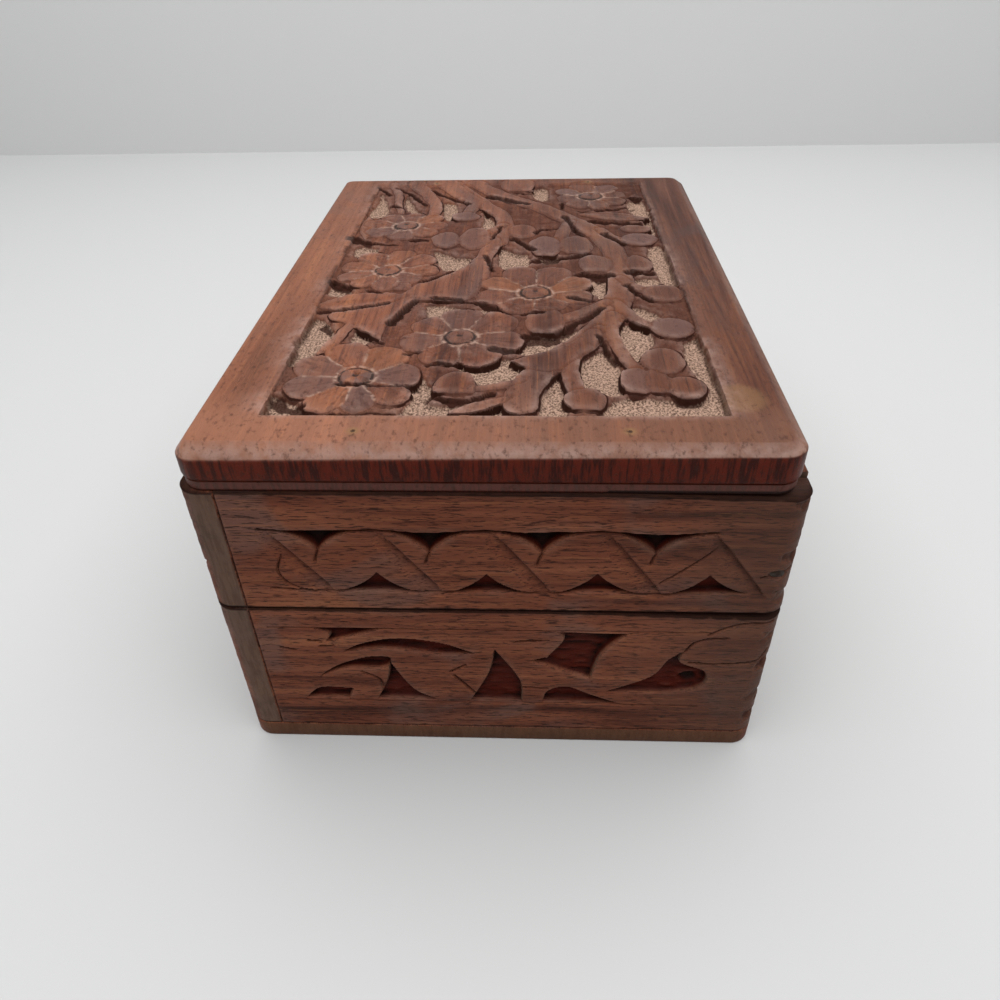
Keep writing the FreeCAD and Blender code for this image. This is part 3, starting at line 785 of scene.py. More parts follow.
@dataclass(frozen=True)
class PieceCard:
    """Name, body, replaced nodes and finish slot of one visual piece."""

    name: str
    body: str
    nodes: Tuple[str, ...]
    slot: str

    def hand_over(self, bm: bmesh.types.BMesh, material: bpy.types.Material,
                  sharp: float = 50.0) -> bpy.types.Object:
        """Turn a bmesh into a piece of the frame.

        Args:
            bm: Finished shape, freed here.
            material: Its material.
            sharp: Angle in degrees past which an edge shows as sharp.

        Returns:
            The piece's object.
        """
        mesh = bpy.data.meshes.new(self.name)
        open_edges = sum(1 for edge in bm.edges if not edge.is_manifold)
        bm.to_mesh(mesh)
        bm.free()
        mesh.shade_smooth()
        mesh.set_sharp_from_angle(angle=math.radians(sharp))
        mesh.materials.append(material)
        piece = bpy.data.objects.new(self.name, mesh)
        bpy.context.scene.collection.objects.link(piece)
        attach(piece, self.body)
        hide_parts(*self.nodes)
        LOG.info("%s: %d faces, %d open edges", self.name, len(mesh.polygons), open_edges)
        return piece


@dataclass
class MotifShape:
    """Motif measured over the lid: distance inside, depth of its top, pale lines and tone from -1 to 1."""

    inside: np.ndarray
    top: np.ndarray
    lines: object = 0.0
    tone: object = 0.0


class Motif:
    """Part of the lid relief that stands above its ground."""

    def shape(self, u: np.ndarray, v: np.ndarray) -> MotifShape:
        """Measure the motif over the lid.

        Args:
            u: Places across the lid.
            v: Places along the lid.

        Returns:
            The measured shape.
        """
        raise NotImplementedError


@dataclass(frozen=True)
class Flower(Motif):
    """Flower with a ringed boss; each petal has its angle and its tip's distance."""

    u: float
    v: float
    boss: float
    petals: Tuple[Pair, ...]
    near: float = 10.9

    def shape(self, u: np.ndarray, v: np.ndarray) -> MotifShape:
        """Measure the petals, the fine lines between them and the boss."""
        draws = np.random.default_rng(int(self.u * 10 + self.v))
        radius = np.hypot(u - self.u, v - self.v)
        angle = np.degrees(np.arctan2(v - self.v, u - self.u))
        order = sorted((a % 360, tip) for a, tip in self.petals)
        gap, edge, tilt, tone = (np.zeros(u.shape) for _ in range(4))
        for k, (middle, tip) in enumerate(order):
            (left, left_tip), (right, right_tip) = order[k - 1], order[(k + 1) % len(order)]
            before, after = (middle - left) % 360 / 2, (right - middle) % 360 / 2
            share = (angle - middle + before) % 360 / (before + after)
            own = share < 1
            notch = 0.40 * (tip + np.where(share < 0.5, left_tip, right_tip))
            reach = notch + (tip - notch) * (1 - np.abs(2 * share - 1) ** 2.6)
            level, lean = draws.uniform(0.02, 0.30), draws.uniform(-0.42, 0.42)
            gap = np.where(own, np.minimum(share, 1 - share) * np.radians(before + after) * radius, gap)
            edge = np.where(own, reach, edge)
            tilt = np.where(own, level + lean * (share - 0.5), tilt)
            tone = np.where(own, draws.uniform(-1.0, 1.0), tone)
        inner = np.clip((radius - self.boss) / 6.0, 0.0, 1.0)
        line = (1 - ramp(0.05, 0.34, gap)) * ramp(self.boss, self.boss + 0.3, radius)
        ring = 1 - ramp(0.12, 0.45, np.abs(radius - self.boss))
        dot = 1 - ramp(0.25, 0.62, np.hypot(u - self.u, v - self.v - 0.9))
        marks = 0.07 * lattice_noise(angle * 0.16, radius * 0.25, 17)
        top = 0.16 + tilt + marks + 0.30 * (1 - inner) ** 2 + 0.26 * line
        top = np.where(radius < self.boss, 0.02 + 0.16 * (radius / self.boss) ** 2, top)
        inside = np.minimum(edge - radius, v - self.near)
        return MotifShape(inside, top + 0.55 * ring + 0.6 * dot, line + 0.4 * ring, tone)


@dataclass(frozen=True)
class RoundLeaf(Motif):
    """Rounded leaf: middle, half sizes, and the line that cuts its near side straight."""

    u: float
    v: float
    half_u: float
    half_v: float
    near: float = -1.0

    def shape(self, u: np.ndarray, v: np.ndarray) -> MotifShape:
        """Measure the leaf, which leans a little to one side."""
        reach = np.hypot((u - self.u) / self.half_u, (v - self.v) / self.half_v)
        inside = np.minimum((1 - reach) * min(self.half_u, self.half_v), v - self.near)
        top = 0.06 + 0.14 * ramp(-1.0, 1.0, (u - self.u) / self.half_u)
        return MotifShape(inside, top, tone=0.3 + 0.55 * math.sin(self.u + 2 * self.v))


@dataclass(frozen=True)
class PointedLeaf(Motif):
    """Leaf pointed at its stalk and tip."""

    stalk: Pair
    tip: Pair
    width: float

    def shape(self, u: np.ndarray, v: np.ndarray) -> MotifShape:
        """Measure the leaf, which falls off across its middle."""
        way = np.subtract(self.tip, self.stalk)
        run = float(np.hypot(*way))
        along = ((u - self.stalk[0]) * way[0] + (v - self.stalk[1]) * way[1]) / run ** 2
        off = ((v - self.stalk[1]) * way[0] - (u - self.stalk[0]) * way[1]) / run
        half = self.width * 2 * np.clip(along, 0, 1) * (1 - np.clip(along, 0, 1))
        inside = np.minimum(half - np.abs(off), np.minimum(along, 1 - along) * run)
        return MotifShape(inside, 0.06 + 0.16 * ramp(-0.6, 0.6, off))


@dataclass(frozen=True)
class Stem(Motif):
    """Stem along drawn points, its width at both ends."""

    start: float
    end: float
    points: Tuple[Pair, ...]

    def shape(self, u: np.ndarray, v: np.ndarray) -> MotifShape:
        """Measure the stem, which is flat with eased edges."""
        inside, off = ribbon(u, v, curve(self.points, 4), self.start, self.end)
        return MotifShape(inside, 0.05 + 0.14 * np.clip(off, -1.2, 1.2) ** 2, tone=-0.3)


@dataclass(frozen=True)
class Blade(Motif):
    """Broad leaf or stem inside a drawn outline."""

    points: Tuple[Pair, ...]

    def shape(self, u: np.ndarray, v: np.ndarray) -> MotifShape:
        """Measure the blade, which is flat with slow dips."""
        inside = polygon(u, v, loop(self.points))
        return MotifShape(inside, 0.08 + 0.07 * lattice_noise(u * 0.22, v * 0.12, 8), tone=-0.2)


@dataclass
class LidRelief:
    """Flowering vine in the sunk field, u across from the front nose and v along from the right end."""

    depth: float
    field_corners: Sequence[Pair]
    motifs: Sequence[Motif] = (
        Stem(6.0, 5.0, ((52.9, 13.6), (53.6, 19.0), (58.0, 27.5), (63.5, 35.0), (68.2, 43.0),
                        (71.2, 52.0), (73.4, 62.0), (73.4, 76.0), (72.4, 86.0), (69.0, 96.0),
                        (61.5, 107.0), (55.0, 115.5), (46.0, 124.5), (38.0, 136.0))),
        Stem(4.6, 4.2, ((46.0, 88.0), (47.4, 98.0), (46.4, 108.0), (42.0, 116.0), (37.0, 126.0),
                        (32.0, 136.0))),
        Stem(3.0, 2.8, ((67.6, 41.5), (64.0, 35.0), (61.8, 28.0), (61.6, 22.0), (62.6, 17.0))),
        Stem(2.6, 2.3, ((70.4, 48.0), (69.8, 40.0), (70.6, 33.0), (73.0, 25.5))),
        Stem(2.8, 2.4, ((71.6, 53.0), (75.0, 45.5), (79.0, 41.8))),
        Stem(2.8, 2.4, ((73.6, 66.0), (76.0, 61.5), (79.5, 58.5))),
        Stem(3.0, 2.4, ((71.0, 96.0), (74.2, 90.5), (78.5, 88.8))),
        Stem(1.9, 1.6, ((53.0, 21.6), (49.0, 19.7), (44.0, 19.2))),
        Stem(3.0, 3.0, ((57.5, 44.0), (63.5, 48.0), (69.5, 53.5))),
        Stem(2.6, 1.4, ((14.6, 136.0), (17.0, 126.0), (18.4, 117.0), (20.0, 110.0))),
        Stem(5.0, 2.8, ((21.0, 136.0), (25.0, 126.5), (28.6, 117.0), (28.6, 109.0))),
        Stem(6.5, 3.0, ((30.0, 136.0), (34.5, 126.5), (39.0, 118.0), (37.5, 109.0))),
        Stem(3.4, 3.0, ((63.5, 102.0), (62.0, 95.0), (60.8, 88.0))),
        Stem(3.0, 2.6, ((47.0, 100.0), (44.4, 96.0), (42.0, 93.0))),
        Blade(((58.6, 24.6), (54.2, 25.2), (51.5, 28.4), (51.5, 28.4), (54.4, 30.6), (60.2, 34.0),
               (66.0, 41.5), (68.0, 38.0), (63.0, 29.5))),
        Blade(((26.4, 43.2), (28.2, 49.0), (31.2, 55.3), (31.2, 55.3), (40.6, 55.2), (43.0, 59.5),
               (44.8, 68.0), (45.2, 78.0), (47.4, 88.0), (44.4, 92.0), (42.4, 82.0), (40.2, 75.2),
               (36.0, 69.0), (30.8, 64.6), (27.4, 58.0), (22.6, 52.6), (15.2, 49.4), (14.6, 46.4),
               (18.2, 44.0), (16.2, 36.6), (15.0, 31.0), (15.0, 31.0), (17.4, 33.4), (20.2, 42.8),
               (20.2, 42.8), (25.8, 37.4), (25.8, 37.4))),
        PointedLeaf((29.0, 57.0), (10.4, 52.4), 7.6), PointedLeaf((66.0, 108.4), (83.4, 104.6), 5.6),
        PointedLeaf((51.8, 16.4), (41.4, 10.5), 2.4), PointedLeaf((12.0, 108.0), (14.0, 91.0), 3.4),
        RoundLeaf(41.7, 19.4, 3.6, 5.3, 17.8), RoundLeaf(63.6, 15.0, 3.4, 3.8, 12.0),
        RoundLeaf(80.4, 19.3, 3.3, 3.4), RoundLeaf(72.6, 21.4, 2.7, 4.4, 17.4),
        RoundLeaf(76.0, 21.4, 2.2, 4.0, 17.8), RoundLeaf(77.9, 28.6, 3.9, 4.6),
        RoundLeaf(81.2, 41.8, 4.1, 4.3), RoundLeaf(81.6, 58.2, 4.1, 4.1),
        RoundLeaf(78.2, 74.0, 2.8, 5.0, 70.5), RoundLeaf(79.9, 89.6, 4.2, 3.8),
        RoundLeaf(68.5, 74.0, 3.7, 5.4, 70.0), RoundLeaf(37.3, 107.2, 3.5, 3.1),
        RoundLeaf(57.5, 85.4, 3.8, 6.6, 79.8), RoundLeaf(64.7, 86.0, 3.8, 6.0, 80.8),
        RoundLeaf(33.6, 90.4, 3.3, 5.0), RoundLeaf(40.6, 91.0, 3.7, 7.4),
        RoundLeaf(57.2, 45.4, 3.8, 6.2, 40.2), RoundLeaf(26.7, 62.2, 2.0, 2.6, 60.4),
        RoundLeaf(52.0, 96.0, 3.4, 4.6), RoundLeaf(79.6, 97.0, 3.4, 2.6),
        Flower(24.0, 22.9, 2.9, ((111, 13.6), (62, 12.4), (5, 11.4), (-47, 12.6), (-75, 12.0),
                                 (-113, 12.4), (-155, 12.4), (154, 12.6))),
        Flower(41.0, 38.4, 2.8, ((93, 12.4), (143, 11.2), (191, 11.2), (250, 11.4), (297, 12.4),
                                 (350, 12.2), (41, 12.8))),
        Flower(55.2, 58.8, 3.0, ((110, 14.4), (68, 14.4), (28, 13.2), (345, 11.8), (300, 9.8),
                                 (238, 10.8), (190, 12.4), (150, 12.8))),
        Flower(22.5, 71.2, 2.7, ((165, 11.4), (205, 11.4), (120, 12.4), (80, 13.0), (40, 12.4), (3, 11.0),
                                 (-40, 9.4), (-85, 10.8), (-128, 10.4))),
        Flower(22.7, 100.8, 2.8, ((170, 11.0), (215, 11.0), (125, 10.4), (85, 9.8), (40, 10.8), (0, 10.4),
                                  (-40, 10.0), (-95, 9.6))),
        Flower(70.0, 123.2, 3.0, ((150, 10.6), (195, 9.4), (240, 10.4), (285, 10.4), (325, 10.2),
                                  (10, 9.6), (55, 11.4), (100, 12.4))),
        Blade(((46.0, 138.0), (45.5, 131.5), (47.5, 128.6), (47.5, 128.6), (54.2, 128.6), (54.2, 128.6),
               (54.0, 138.0))),
    )
    islands: Sequence[Sequence[Pair]] = (
        ((11.2, 109.0), (12.5, 120.0), (12.2, 128.0), (14.5, 121.0), (16.4, 112.0), (15.5, 108.0)),
        ((19.6, 125.5), (22.5, 117.0), (25.5, 110.0), (23.0, 110.5), (20.2, 117.0)),
        ((30.6, 119.5), (34.2, 117.0), (34.4, 108.0), (33.2, 104.5), (31.0, 110.0)),
        ((40.3, 119.5), (42.4, 111.0), (44.6, 103.0), (44.2, 95.5), (41.6, 98.0), (42.2, 106.0)),
        ((54.6, 131.5), (58.2, 131.5), (58.0, 121.0), (54.8, 122.0)),
        ((79.4, 118.0), (83.8, 119.0), (84.0, 95.0), (82.0, 96.0), (82.2, 104.0), (80.0, 110.0)),
        ((13.0, 86.5), (17.5, 86.0), (17.4, 80.0), (13.2, 81.0)),
        ((31.6, 83.5), (36.5, 80.5), (40.2, 79.5), (39.6, 74.5), (35.0, 72.0), (33.0, 76.5)),
        ((46.6, 85.0), (50.0, 83.0), (53.6, 80.5), (53.4, 74.5), (50.0, 70.0), (47.4, 74.5)),
        ((56.4, 79.0), (60.4, 79.4), (60.0, 75.6), (57.0, 75.6)),
        ((66.0, 65.4), (71.2, 66.0), (71.0, 57.5), (68.5, 56.0), (66.8, 60.0)),
        ((76.4, 66.6), (81.6, 66.4), (80.6, 62.0), (78.4, 59.4), (77.2, 62.0)),
        ((81.2, 84.0), (84.8, 84.0), (85.2, 63.0), (82.6, 62.4), (81.6, 70.0)),
        ((33.0, 53.0), (37.5, 53.0), (40.2, 50.0), (37.5, 46.0), (34.4, 47.4)),
        ((43.6, 51.5), (47.6, 51.0), (48.4, 47.4), (45.0, 46.4)),
        ((11.4, 63.0), (16.0, 61.4), (15.4, 58.6), (12.0, 58.0)),
        ((71.6, 50.0), (76.0, 52.0), (79.6, 47.4), (77.4, 42.8), (74.4, 44.4)),
        ((32.8, 24.0), (36.0, 22.6), (38.4, 17.6), (38.4, 14.2), (52.0, 13.6), (50.0, 8.6), (33.4, 8.6),
         (34.4, 15.0)),
        ((40.5, 29.0), (50.0, 29.6), (53.6, 25.6), (51.4, 22.0), (45.4, 20.4), (43.4, 24.6)),
        ((55.6, 8.6), (56.4, 16.0), (58.8, 24.0), (61.4, 21.6), (60.8, 12.0), (59.6, 8.6)),
        ((62.4, 18.8), (62.8, 26.6), (66.8, 33.0), (69.4, 30.4), (70.4, 24.4), (69.8, 17.0),
         (66.4, 18.0)),
        ((66.4, 8.6), (86.8, 8.6), (86.8, 36.0), (82.6, 36.0), (82.4, 25.6), (84.4, 20.0), (82.0, 15.6),
         (72.0, 16.4), (68.0, 15.0)),
        ((70.6, 43.0), (75.0, 44.4), (77.6, 38.6), (75.6, 33.0), (73.4, 29.0), (71.4, 34.0)),
        ((52.4, 37.6), (59.4, 40.4), (64.6, 41.6), (60.6, 35.4), (54.6, 31.4), (51.4, 32.0)),
        ((10.2, 8.6), (18.6, 8.6), (17.0, 12.6), (12.4, 16.4), (10.2, 16.4)),
        ((10.6, 28.0), (10.6, 46.0), (14.4, 45.0), (16.6, 38.6), (15.0, 31.4), (13.0, 28.4)),
        ((20.8, 41.4), (24.6, 38.4), (23.0, 35.6), (20.4, 36.6)),
    )
    # Listed knife cuts, each cut deeper and painted with shadow.
    shadowed_gouges: Sequence[Tuple[float, Sequence[Pair]]] = (
        (1.6, ((10.8, 132.0), (12.5, 129.5), (14.8, 126.0))),
        (1.6, ((16.2, 131.5), (20.5, 126.0), (25.5, 117.0))),
        (2.0, ((26.5, 129.0), (31.5, 123.5), (37.5, 117.0))),
        (2.2, ((31.0, 64.5), (35.5, 69.0), (40.0, 75.0))), (1.4, ((43.8, 79.0), (45.4, 70.5))),
        (2.4, ((50.0, 90.5), (54.5, 83.0))), (1.8, ((62.3, 105.5), (64.0, 99.0), (66.4, 92.5))),
        (1.6, ((12.0, 65.0), (15.5, 62.0))), (1.8, ((20.4, 60.0), (23.2, 58.2))),
        (1.6, ((17.0, 116.5), (19.4, 114.0))), (3.4, ((69.5, 102.6), (75.0, 101.4), (81.0, 100.8))),
        (2.4, ((80.8, 121.0), (83.6, 120.4))), (1.5, ((55.2, 94.6), (57.0, 97.0), (60.8, 97.6))),
        (1.2, ((44.8, 90.0), (46.4, 98.6))), (1.0, ((21.0, 20.6), (26.2, 20.0), (35.4, 19.8))),
        (2.6, ((47.4, 33.2), (52.4, 32.2))), (1.8, ((62.6, 56.4), (66.6, 54.4))),
        (1.3, ((34.0, 55.8), (40.0, 55.0), (47.0, 51.0))), (1.6, ((13.6, 44.6), (16.0, 41.4))),
        (1.6, ((53.0, 48.0), (57.0, 48.6))), (2.8, ((42.5, 123.6), (47.0, 120.2), (53.2, 116.4))),
        (2.2, ((50.0, 126.4), (53.4, 125.6))), (3.4, ((10.8, 91.0), (13.0, 89.2), (15.8, 88.2))),
        (1.2, ((16.4, 87.6), (22.0, 86.8))), (2.2, ((25.5, 90.6), (29.0, 90.0))),
        (1.2, ((62.2, 117.0), (61.8, 112.4))), (1.6, ((66.2, 110.4), (70.0, 111.6))),
        (1.8, ((71.0, 111.4), (76.0, 112.4), (81.0, 115.0))),
        (2.0, ((71.8, 93.0), (73.8, 89.6), (76.0, 86.4))),
        (2.8, ((55.2, 76.6), (58.4, 78.0), (63.6, 78.4), (67.4, 80.4))),
        (3.6, ((65.2, 68.0), (68.4, 67.4), (71.4, 67.4))), (3.2, ((75.8, 69.2), (80.4, 68.8))),
        (2.2, ((12.6, 49.6), (18.0, 50.6), (25.0, 53.4))),
        (1.8, ((27.0, 44.0), (29.0, 50.0), (30.8, 54.6))),
        (1.8, ((44.0, 53.6), (46.6, 52.0), (47.8, 50.4))),
        (2.0, ((57.6, 37.6), (62.0, 42.4), (66.0, 46.8), (68.8, 50.6))),
        (1.8, ((74.6, 61.6), (76.2, 57.6), (79.2, 54.2))), (3.0, ((54.0, 38.6), (59.4, 38.4))),
        (1.2, ((67.4, 38.0), (68.0, 33.0), (70.8, 27.2))),
        (2.4, ((12.0, 15.4), (14.0, 13.4), (17.0, 13.2))),
        (0.9, ((20.0, 10.3), (27.0, 10.6), (34.0, 10.3))),
        (2.0, ((37.8, 16.8), (41.0, 15.2), (45.0, 15.6), (48.0, 17.4))),
        (1.4, ((36.0, 27.2), (38.4, 28.0), (41.4, 26.8))), (1.3, ((23.4, 36.8), (26.6, 35.6))),
        (1.0, ((31.6, 31.4), (34.2, 32.4))), (2.6, ((11.4, 64.6), (15.8, 61.8))),
    )

    def sunk(self, u: np.ndarray, v: np.ndarray) -> Tuple[np.ndarray, np.ndarray]:
        """Distances inside the field's long sides and inside its ends, along hand-cut edges."""
        wander = 0.35 * lattice_noise(u * 0.25, v * 0.25, 5) + 0.08 * lattice_noise(u * 0.9, v * 0.9, 6)
        (left, near), (right, _), (right_far, far), _ = self.field_corners
        right = np.interp(v, [near, far], [right, right_far])
        ends = np.minimum(v - near, 0.2 * (far - v))
        return np.minimum(u - left, right - u) + wander, ends + 0.6 * wander

    def outline(self, u: np.ndarray, v: np.ndarray) -> np.ndarray:
        """Distance inside the motifs."""
        u, v = self.unsteady(u, v)
        return np.max([motif.shape(u, v).inside for motif in self.motifs], axis=0)

    @staticmethod
    def unsteady(u: np.ndarray, v: np.ndarray) -> Tuple[np.ndarray, ...]:
        """Places moved a little to and fro, as a hand leads the knife."""
        return tuple(place + 0.32 * lattice_noise(u * 0.24, v * 0.24, seed)
                     + 0.13 * lattice_noise(u * 0.8, v * 0.8, seed + 1)
                     for place, seed in ((u, 31), (v, 33)))

    def bosses(self) -> List[Spot]:
        """Drawing place and radius of each flower's boss, as the hand left it."""
        found = []
        for flower in (motif for motif in self.motifs if isinstance(motif, Flower)):
            drawn = np.array([flower.u]), np.array([flower.v])
            u, v = (2 * place - moved for place, moved in zip(drawn, self.unsteady(*drawn)))
            found.append((float(u[0]), float(v[0]), flower.boss))
        return found

    def cut(self, u: np.ndarray, v: np.ndarray) -> Dict[str, np.ndarray]:
        """Carve the field.

        Args:
            u: Places across the lid.
            v: Places along the lid.

        Returns:
            Depth in millimetres, distance inside the motifs, and the masks that the finish reads.
        """
        sides, ends = self.sunk(u, v)
        rough = 0.20 * lattice_noise(u * 0.5, v * 0.5, 3) + 0.12 * lattice_noise(u * 1.9, v * 1.9, 4)
        pale = np.max([polygon(u, v, loop(island, 3)) for island in self.islands], axis=0)
        # steep is the share of painted shade on walls and near-side shadows, full beside the pale islands.
        steep = 0.3 + 0.7 * ramp(-2.4, -0.9, pale)
        pale = ramp(-0.6, 0.6, pale + 0.4 * lattice_noise(u * 0.9, v * 0.9, 9))
        depth = self.depth * (0.26 + 0.74 * pale) + rough
        depth = depth * ramp(-0.1, 0.4, sides) * ramp(-0.1, 0.4, ends)
        # Painted shade along the field's side walls.
        band = ramp(0.0, 0.12, sides) * (1 - ramp(0.25, 0.6, sides)) * ramp(0.0, 0.3, ends)
        # Painted shadow just nearer than each motif's edge, which is also cut a little deeper.
        reach = 1.05 + 0.5 * lattice_noise(u * 0.4, v * 0.4, 19)
        near_shadow = ramp(-0.15, 0.35, self.outline(u, v + reach)) * ramp(0.3, 0.9, np.minimum(sides, ends))
        edge = np.full(u.shape, -4.0)
        ground = ramp(0.1, 0.35, sides) * ramp(0.1, 0.4, ends)
        dust, tone = np.zeros(u.shape), 0.5 * ground
        u, v = self.unsteady(u, v)
        for shape in (motif.shape(u, v) for motif in self.motifs):
            wall = ramp(-0.45, 0.0, shape.inside)
            groove = 0.22 * (1 - ramp(0.0, 0.36, np.abs(shape.inside + 0.08))) * (depth < 0.9)
            depth = depth * (1 - wall) + np.minimum(shape.top, np.maximum(depth, 0.05)) * wall + groove
            edge = np.maximum(edge, shape.inside)
            within = ramp(0.0, 0.4, shape.inside)
            dust = np.maximum(dust * (1 - within), shape.lines * within)
            tone = tone * (1 - within) + shape.tone * within
        gouge_shadow = np.maximum(0.9 * near_shadow * steep * (1 - ramp(-0.25, -0.05, edge)), 0.7 * band)
        depth = depth + 0.6 * gouge_shadow * ramp(0.2, 0.8, sides)
        for width, points in self.shadowed_gouges:
            inside, _ = ribbon(u, v, curve(points, 3), width, 0.7 * width)
            inside = inside + 0.25 * lattice_noise(u * 1.3, v * 1.3, 23)
            gouge_shadow = np.maximum(gouge_shadow, ramp(-0.15, 0.15, inside))
            depth = depth + 0.9 * ramp(0.0, 0.5, inside) * ramp(0.2, 0.8, sides) * (depth < 1.2)
        depth = np.clip(depth, 0.0, self.depth + 0.35)
        return {"depth": depth, "edge": edge, "ground": ground, "pale": pale, "gouge_shadow": gouge_shadow, "dust": dust,
                "tone": tone, "steep": steep}


@dataclass
class LidPanel:
    """Carved top board of the lid with its moulded edge."""

    sizes: BoxSizes
    finish: LidFinish
    cell: float = 0.366
    border_rows: int = 10
    crowding: float = 0.16
    side_inset: float = 1.7
    shift: float = -0.75
    corner: float = 4.0
    foot: float = 1.9
    setback: float = 0.35
    bevel: float = 2.2
    field_depth: float = 1.65
    drawing_edge: float = 48.4
    sunk_across: Pair = (10.6, 86.3)
    sunk_along: Pair = (9.7, 134.5)
    far_draw: float = 1.8
    brad_inset: float = 5.0
    brad_pitch: float = 43.0
    patch: Pair = (88.8, 15.2)
    patch_half: Pair = (4.2, 4.8)

    def half_sizes(self, inset: float) -> Pair:
        """Half length and half width of the outline at a distance inside the nose."""
        return self.sizes.length / 2 - inset, self.sizes.width / 2 - self.side_inset - inset

    def rounded(self, along: float, up: float, inset: float) -> Pair:
        """Point of the rounded outline for a place on a square's rim.

        Args:
            along: First place on the square, from -1 to 1.
            up: Second place on the square, from -1 to 1.
            inset: Distance of the outline inside the nose.

        Returns:
            Place in millimetres, counted from the box's middle.
        """
        radius = max(self.corner - inset, 0.6)
        places = []
        for share, half in zip((along, up), self.half_sizes(inset)):
            over = abs(share * half) - (half - radius)
            places.append((math.copysign(1.0, share), abs(share * half), half - radius, over / radius))
        (sign_x, x, core_x, a), (sign_y, y, core_y, b) = places
        if a > 0 and b > 0:
            x = core_x + radius * a * math.sqrt(1 - b * b / 2)
            y = core_y + radius * b * math.sqrt(1 - a * a / 2)
        return sign_x * x, sign_y * y + self.shift

    def profile(self) -> List[Tuple[float, float, float, float]]:
        """Edge moulding down from the top's arris: inset, drop, share of rubbing and painted sheen, and
        tone of each ring.
        """
        low = self.sizes.top - self.sizes.rail_high
        step = low - self.foot
        return [(self.bevel - 0.25, 0.08, 0.25, 0.0), (0.70, self.bevel - 0.70, 0.7, 0.0),
                (0.20, self.bevel - 0.20, 0.6, 0.0), (0.02, self.bevel + 0.08, 0.1, 0.0),
                (0.0, self.bevel + 0.35, 0.0, 0.0), (0.0, step - 0.9, 0.0, 0.0),
                (0.16, step - 0.35, 0.0, 0.0), (0.60, step, 0.0, 0.0),
                (self.setback, step + 0.12, 0.0, 0.7),
                (self.setback, low - 0.8, 0.0, 0.7), (self.setback, low - 0.55, 0.0, 0.7),
                (self.setback + 0.2, low, 0.0, 0.0), (self.setback + 1.4, low, 0.0, 0.0)]

    def fall(self, drop: float, up: float) -> float:
        """Drop of a ring below the top, its bevel shallower towards the back."""
        if drop > self.bevel + 1.0:
            return drop
        return drop * (0.86 - 0.26 * up)

    def gap_shade(self, drop: float, up: float) -> float:
        """Share of painted shade on a ring, in the joint below the foot and wider towards the back."""
        above = self.sizes.top - self.sizes.rail_high - drop
        wide = 0.65 * float(ramp(0.15, 0.5, np.array(up)))
        return 0.95 if above < 0.05 + wide else 0.0

    def field_corners(self) -> List[Pair]:
        """Corners of the sunk field in drawing coordinates."""
        (left, right), (near, far) = self.sunk_across, self.sunk_along
        return [(left, near), (right, near), (right - self.far_draw, far), (left, far)]

    def spread(self, inset: float) -> Tuple[Sheet, np.ndarray, np.ndarray]:
        """Lay the sheet with wide rows on its borders and closer columns towards its near end.

        Args:
            inset: Distance of the sheet's rim inside the nose.

        Returns:
            The sheet, and both places of each vertex on a square from -1 to 1.
        """
        half_x, half_y = self.half_sizes(inset)
        sunk = np.array(self.sunk_across) - self.drawing_edge - self.shift
        fine = int((sunk[1] - sunk[0]) / self.cell)
        rows = fine + 2 * self.border_rows
        sheet = Sheet(int(2 * half_x / self.cell), rows)
        shares = [0.0, self.border_rows / rows, 1 - self.border_rows / rows, 1.0]
        up = np.interp(sheet.upward, shares, [-1.0, *(sunk / half_y), 1.0])
        from_near = 1 - sheet.across
        from_near = from_near * (1 - self.crowding) + self.crowding * from_near ** 2
        return sheet, 1 - 2 * from_near, up

    def snapped(self, sheet: Sheet, u: np.ndarray, v: np.ndarray,
                relief: LidRelief) -> Tuple[np.ndarray, np.ndarray]:
        """Move the vertices beside an outline onto it, so that cut edges run clean.

        Args:
            sheet: Sheet of the vertices.
            u: Their places across the lid.
            v: Their places along the lid.
            relief: Relief whose outlines count.

        Returns:
            Both places after the move.
        """
        edge = relief.outline(u, v)
        grid, across, along = (sheet.as_grid(values) for values in (edge, u, v))
        rows, columns = grid.shape
        slopes = np.gradient(grid, across[:, columns // 2], along[rows // 2])
        slope_u, slope_v = (slope[sheet.rows, sheet.columns] for slope in slopes)
        steep = np.maximum(slope_u ** 2 + slope_v ** 2, 0.3)
        move = np.where(np.abs(edge) < 0.6 * self.cell, -edge / steep, 0.0)
        limit = 0.45 * self.cell
        return u + np.clip(move * slope_u, -limit, limit), v + np.clip(move * slope_v, -limit, limit)

    def build(self) -> bpy.types.Object:
        """Cut the relief, draw out the moulded edge and close the board."""
        arris = self.bevel + 0.15
        sheet, along, up = self.spread(arris)
        flat = np.array([self.rounded(a, b, arris) for a, b in zip(along, up)])
        relief = LidRelief(self.field_depth, self.field_corners())
        end = self.sizes.length / 2
        u, v = self.snapped(sheet, flat[:, 1] + self.drawing_edge, end - flat[:, 0], relief)
        flat = np.column_stack([end - v, u - self.drawing_edge])
        masks = relief.cut(u, v)
        depth = masks.pop("depth")
        # The pit mask paints shade into the relief's hollows.
        rim, pit = sheet.shade_masks(depth, 3, 1.0)
        brad_x = self.sizes.length / 2 - self.brad_inset
        spot = np.hypot(np.abs(flat[:, 0]) - brad_x, np.abs(flat[:, 1]) - self.brad_pitch / 2)
        patch = np.hypot((u - self.patch[0]) / self.patch_half[0], (v - self.patch[1]) / self.patch_half[1])
        fill = np.maximum(1 - ramp(0.3, 1.6, spot), 0.55 * (1 - ramp(0.7, 1.1, patch)))
        sheet.carry(along=along, up=up, cut=depth / self.field_depth, rim=rim, pit=pit, fill=fill, **masks)
        sheet.place(np.column_stack([flat, self.sizes.top - depth]))
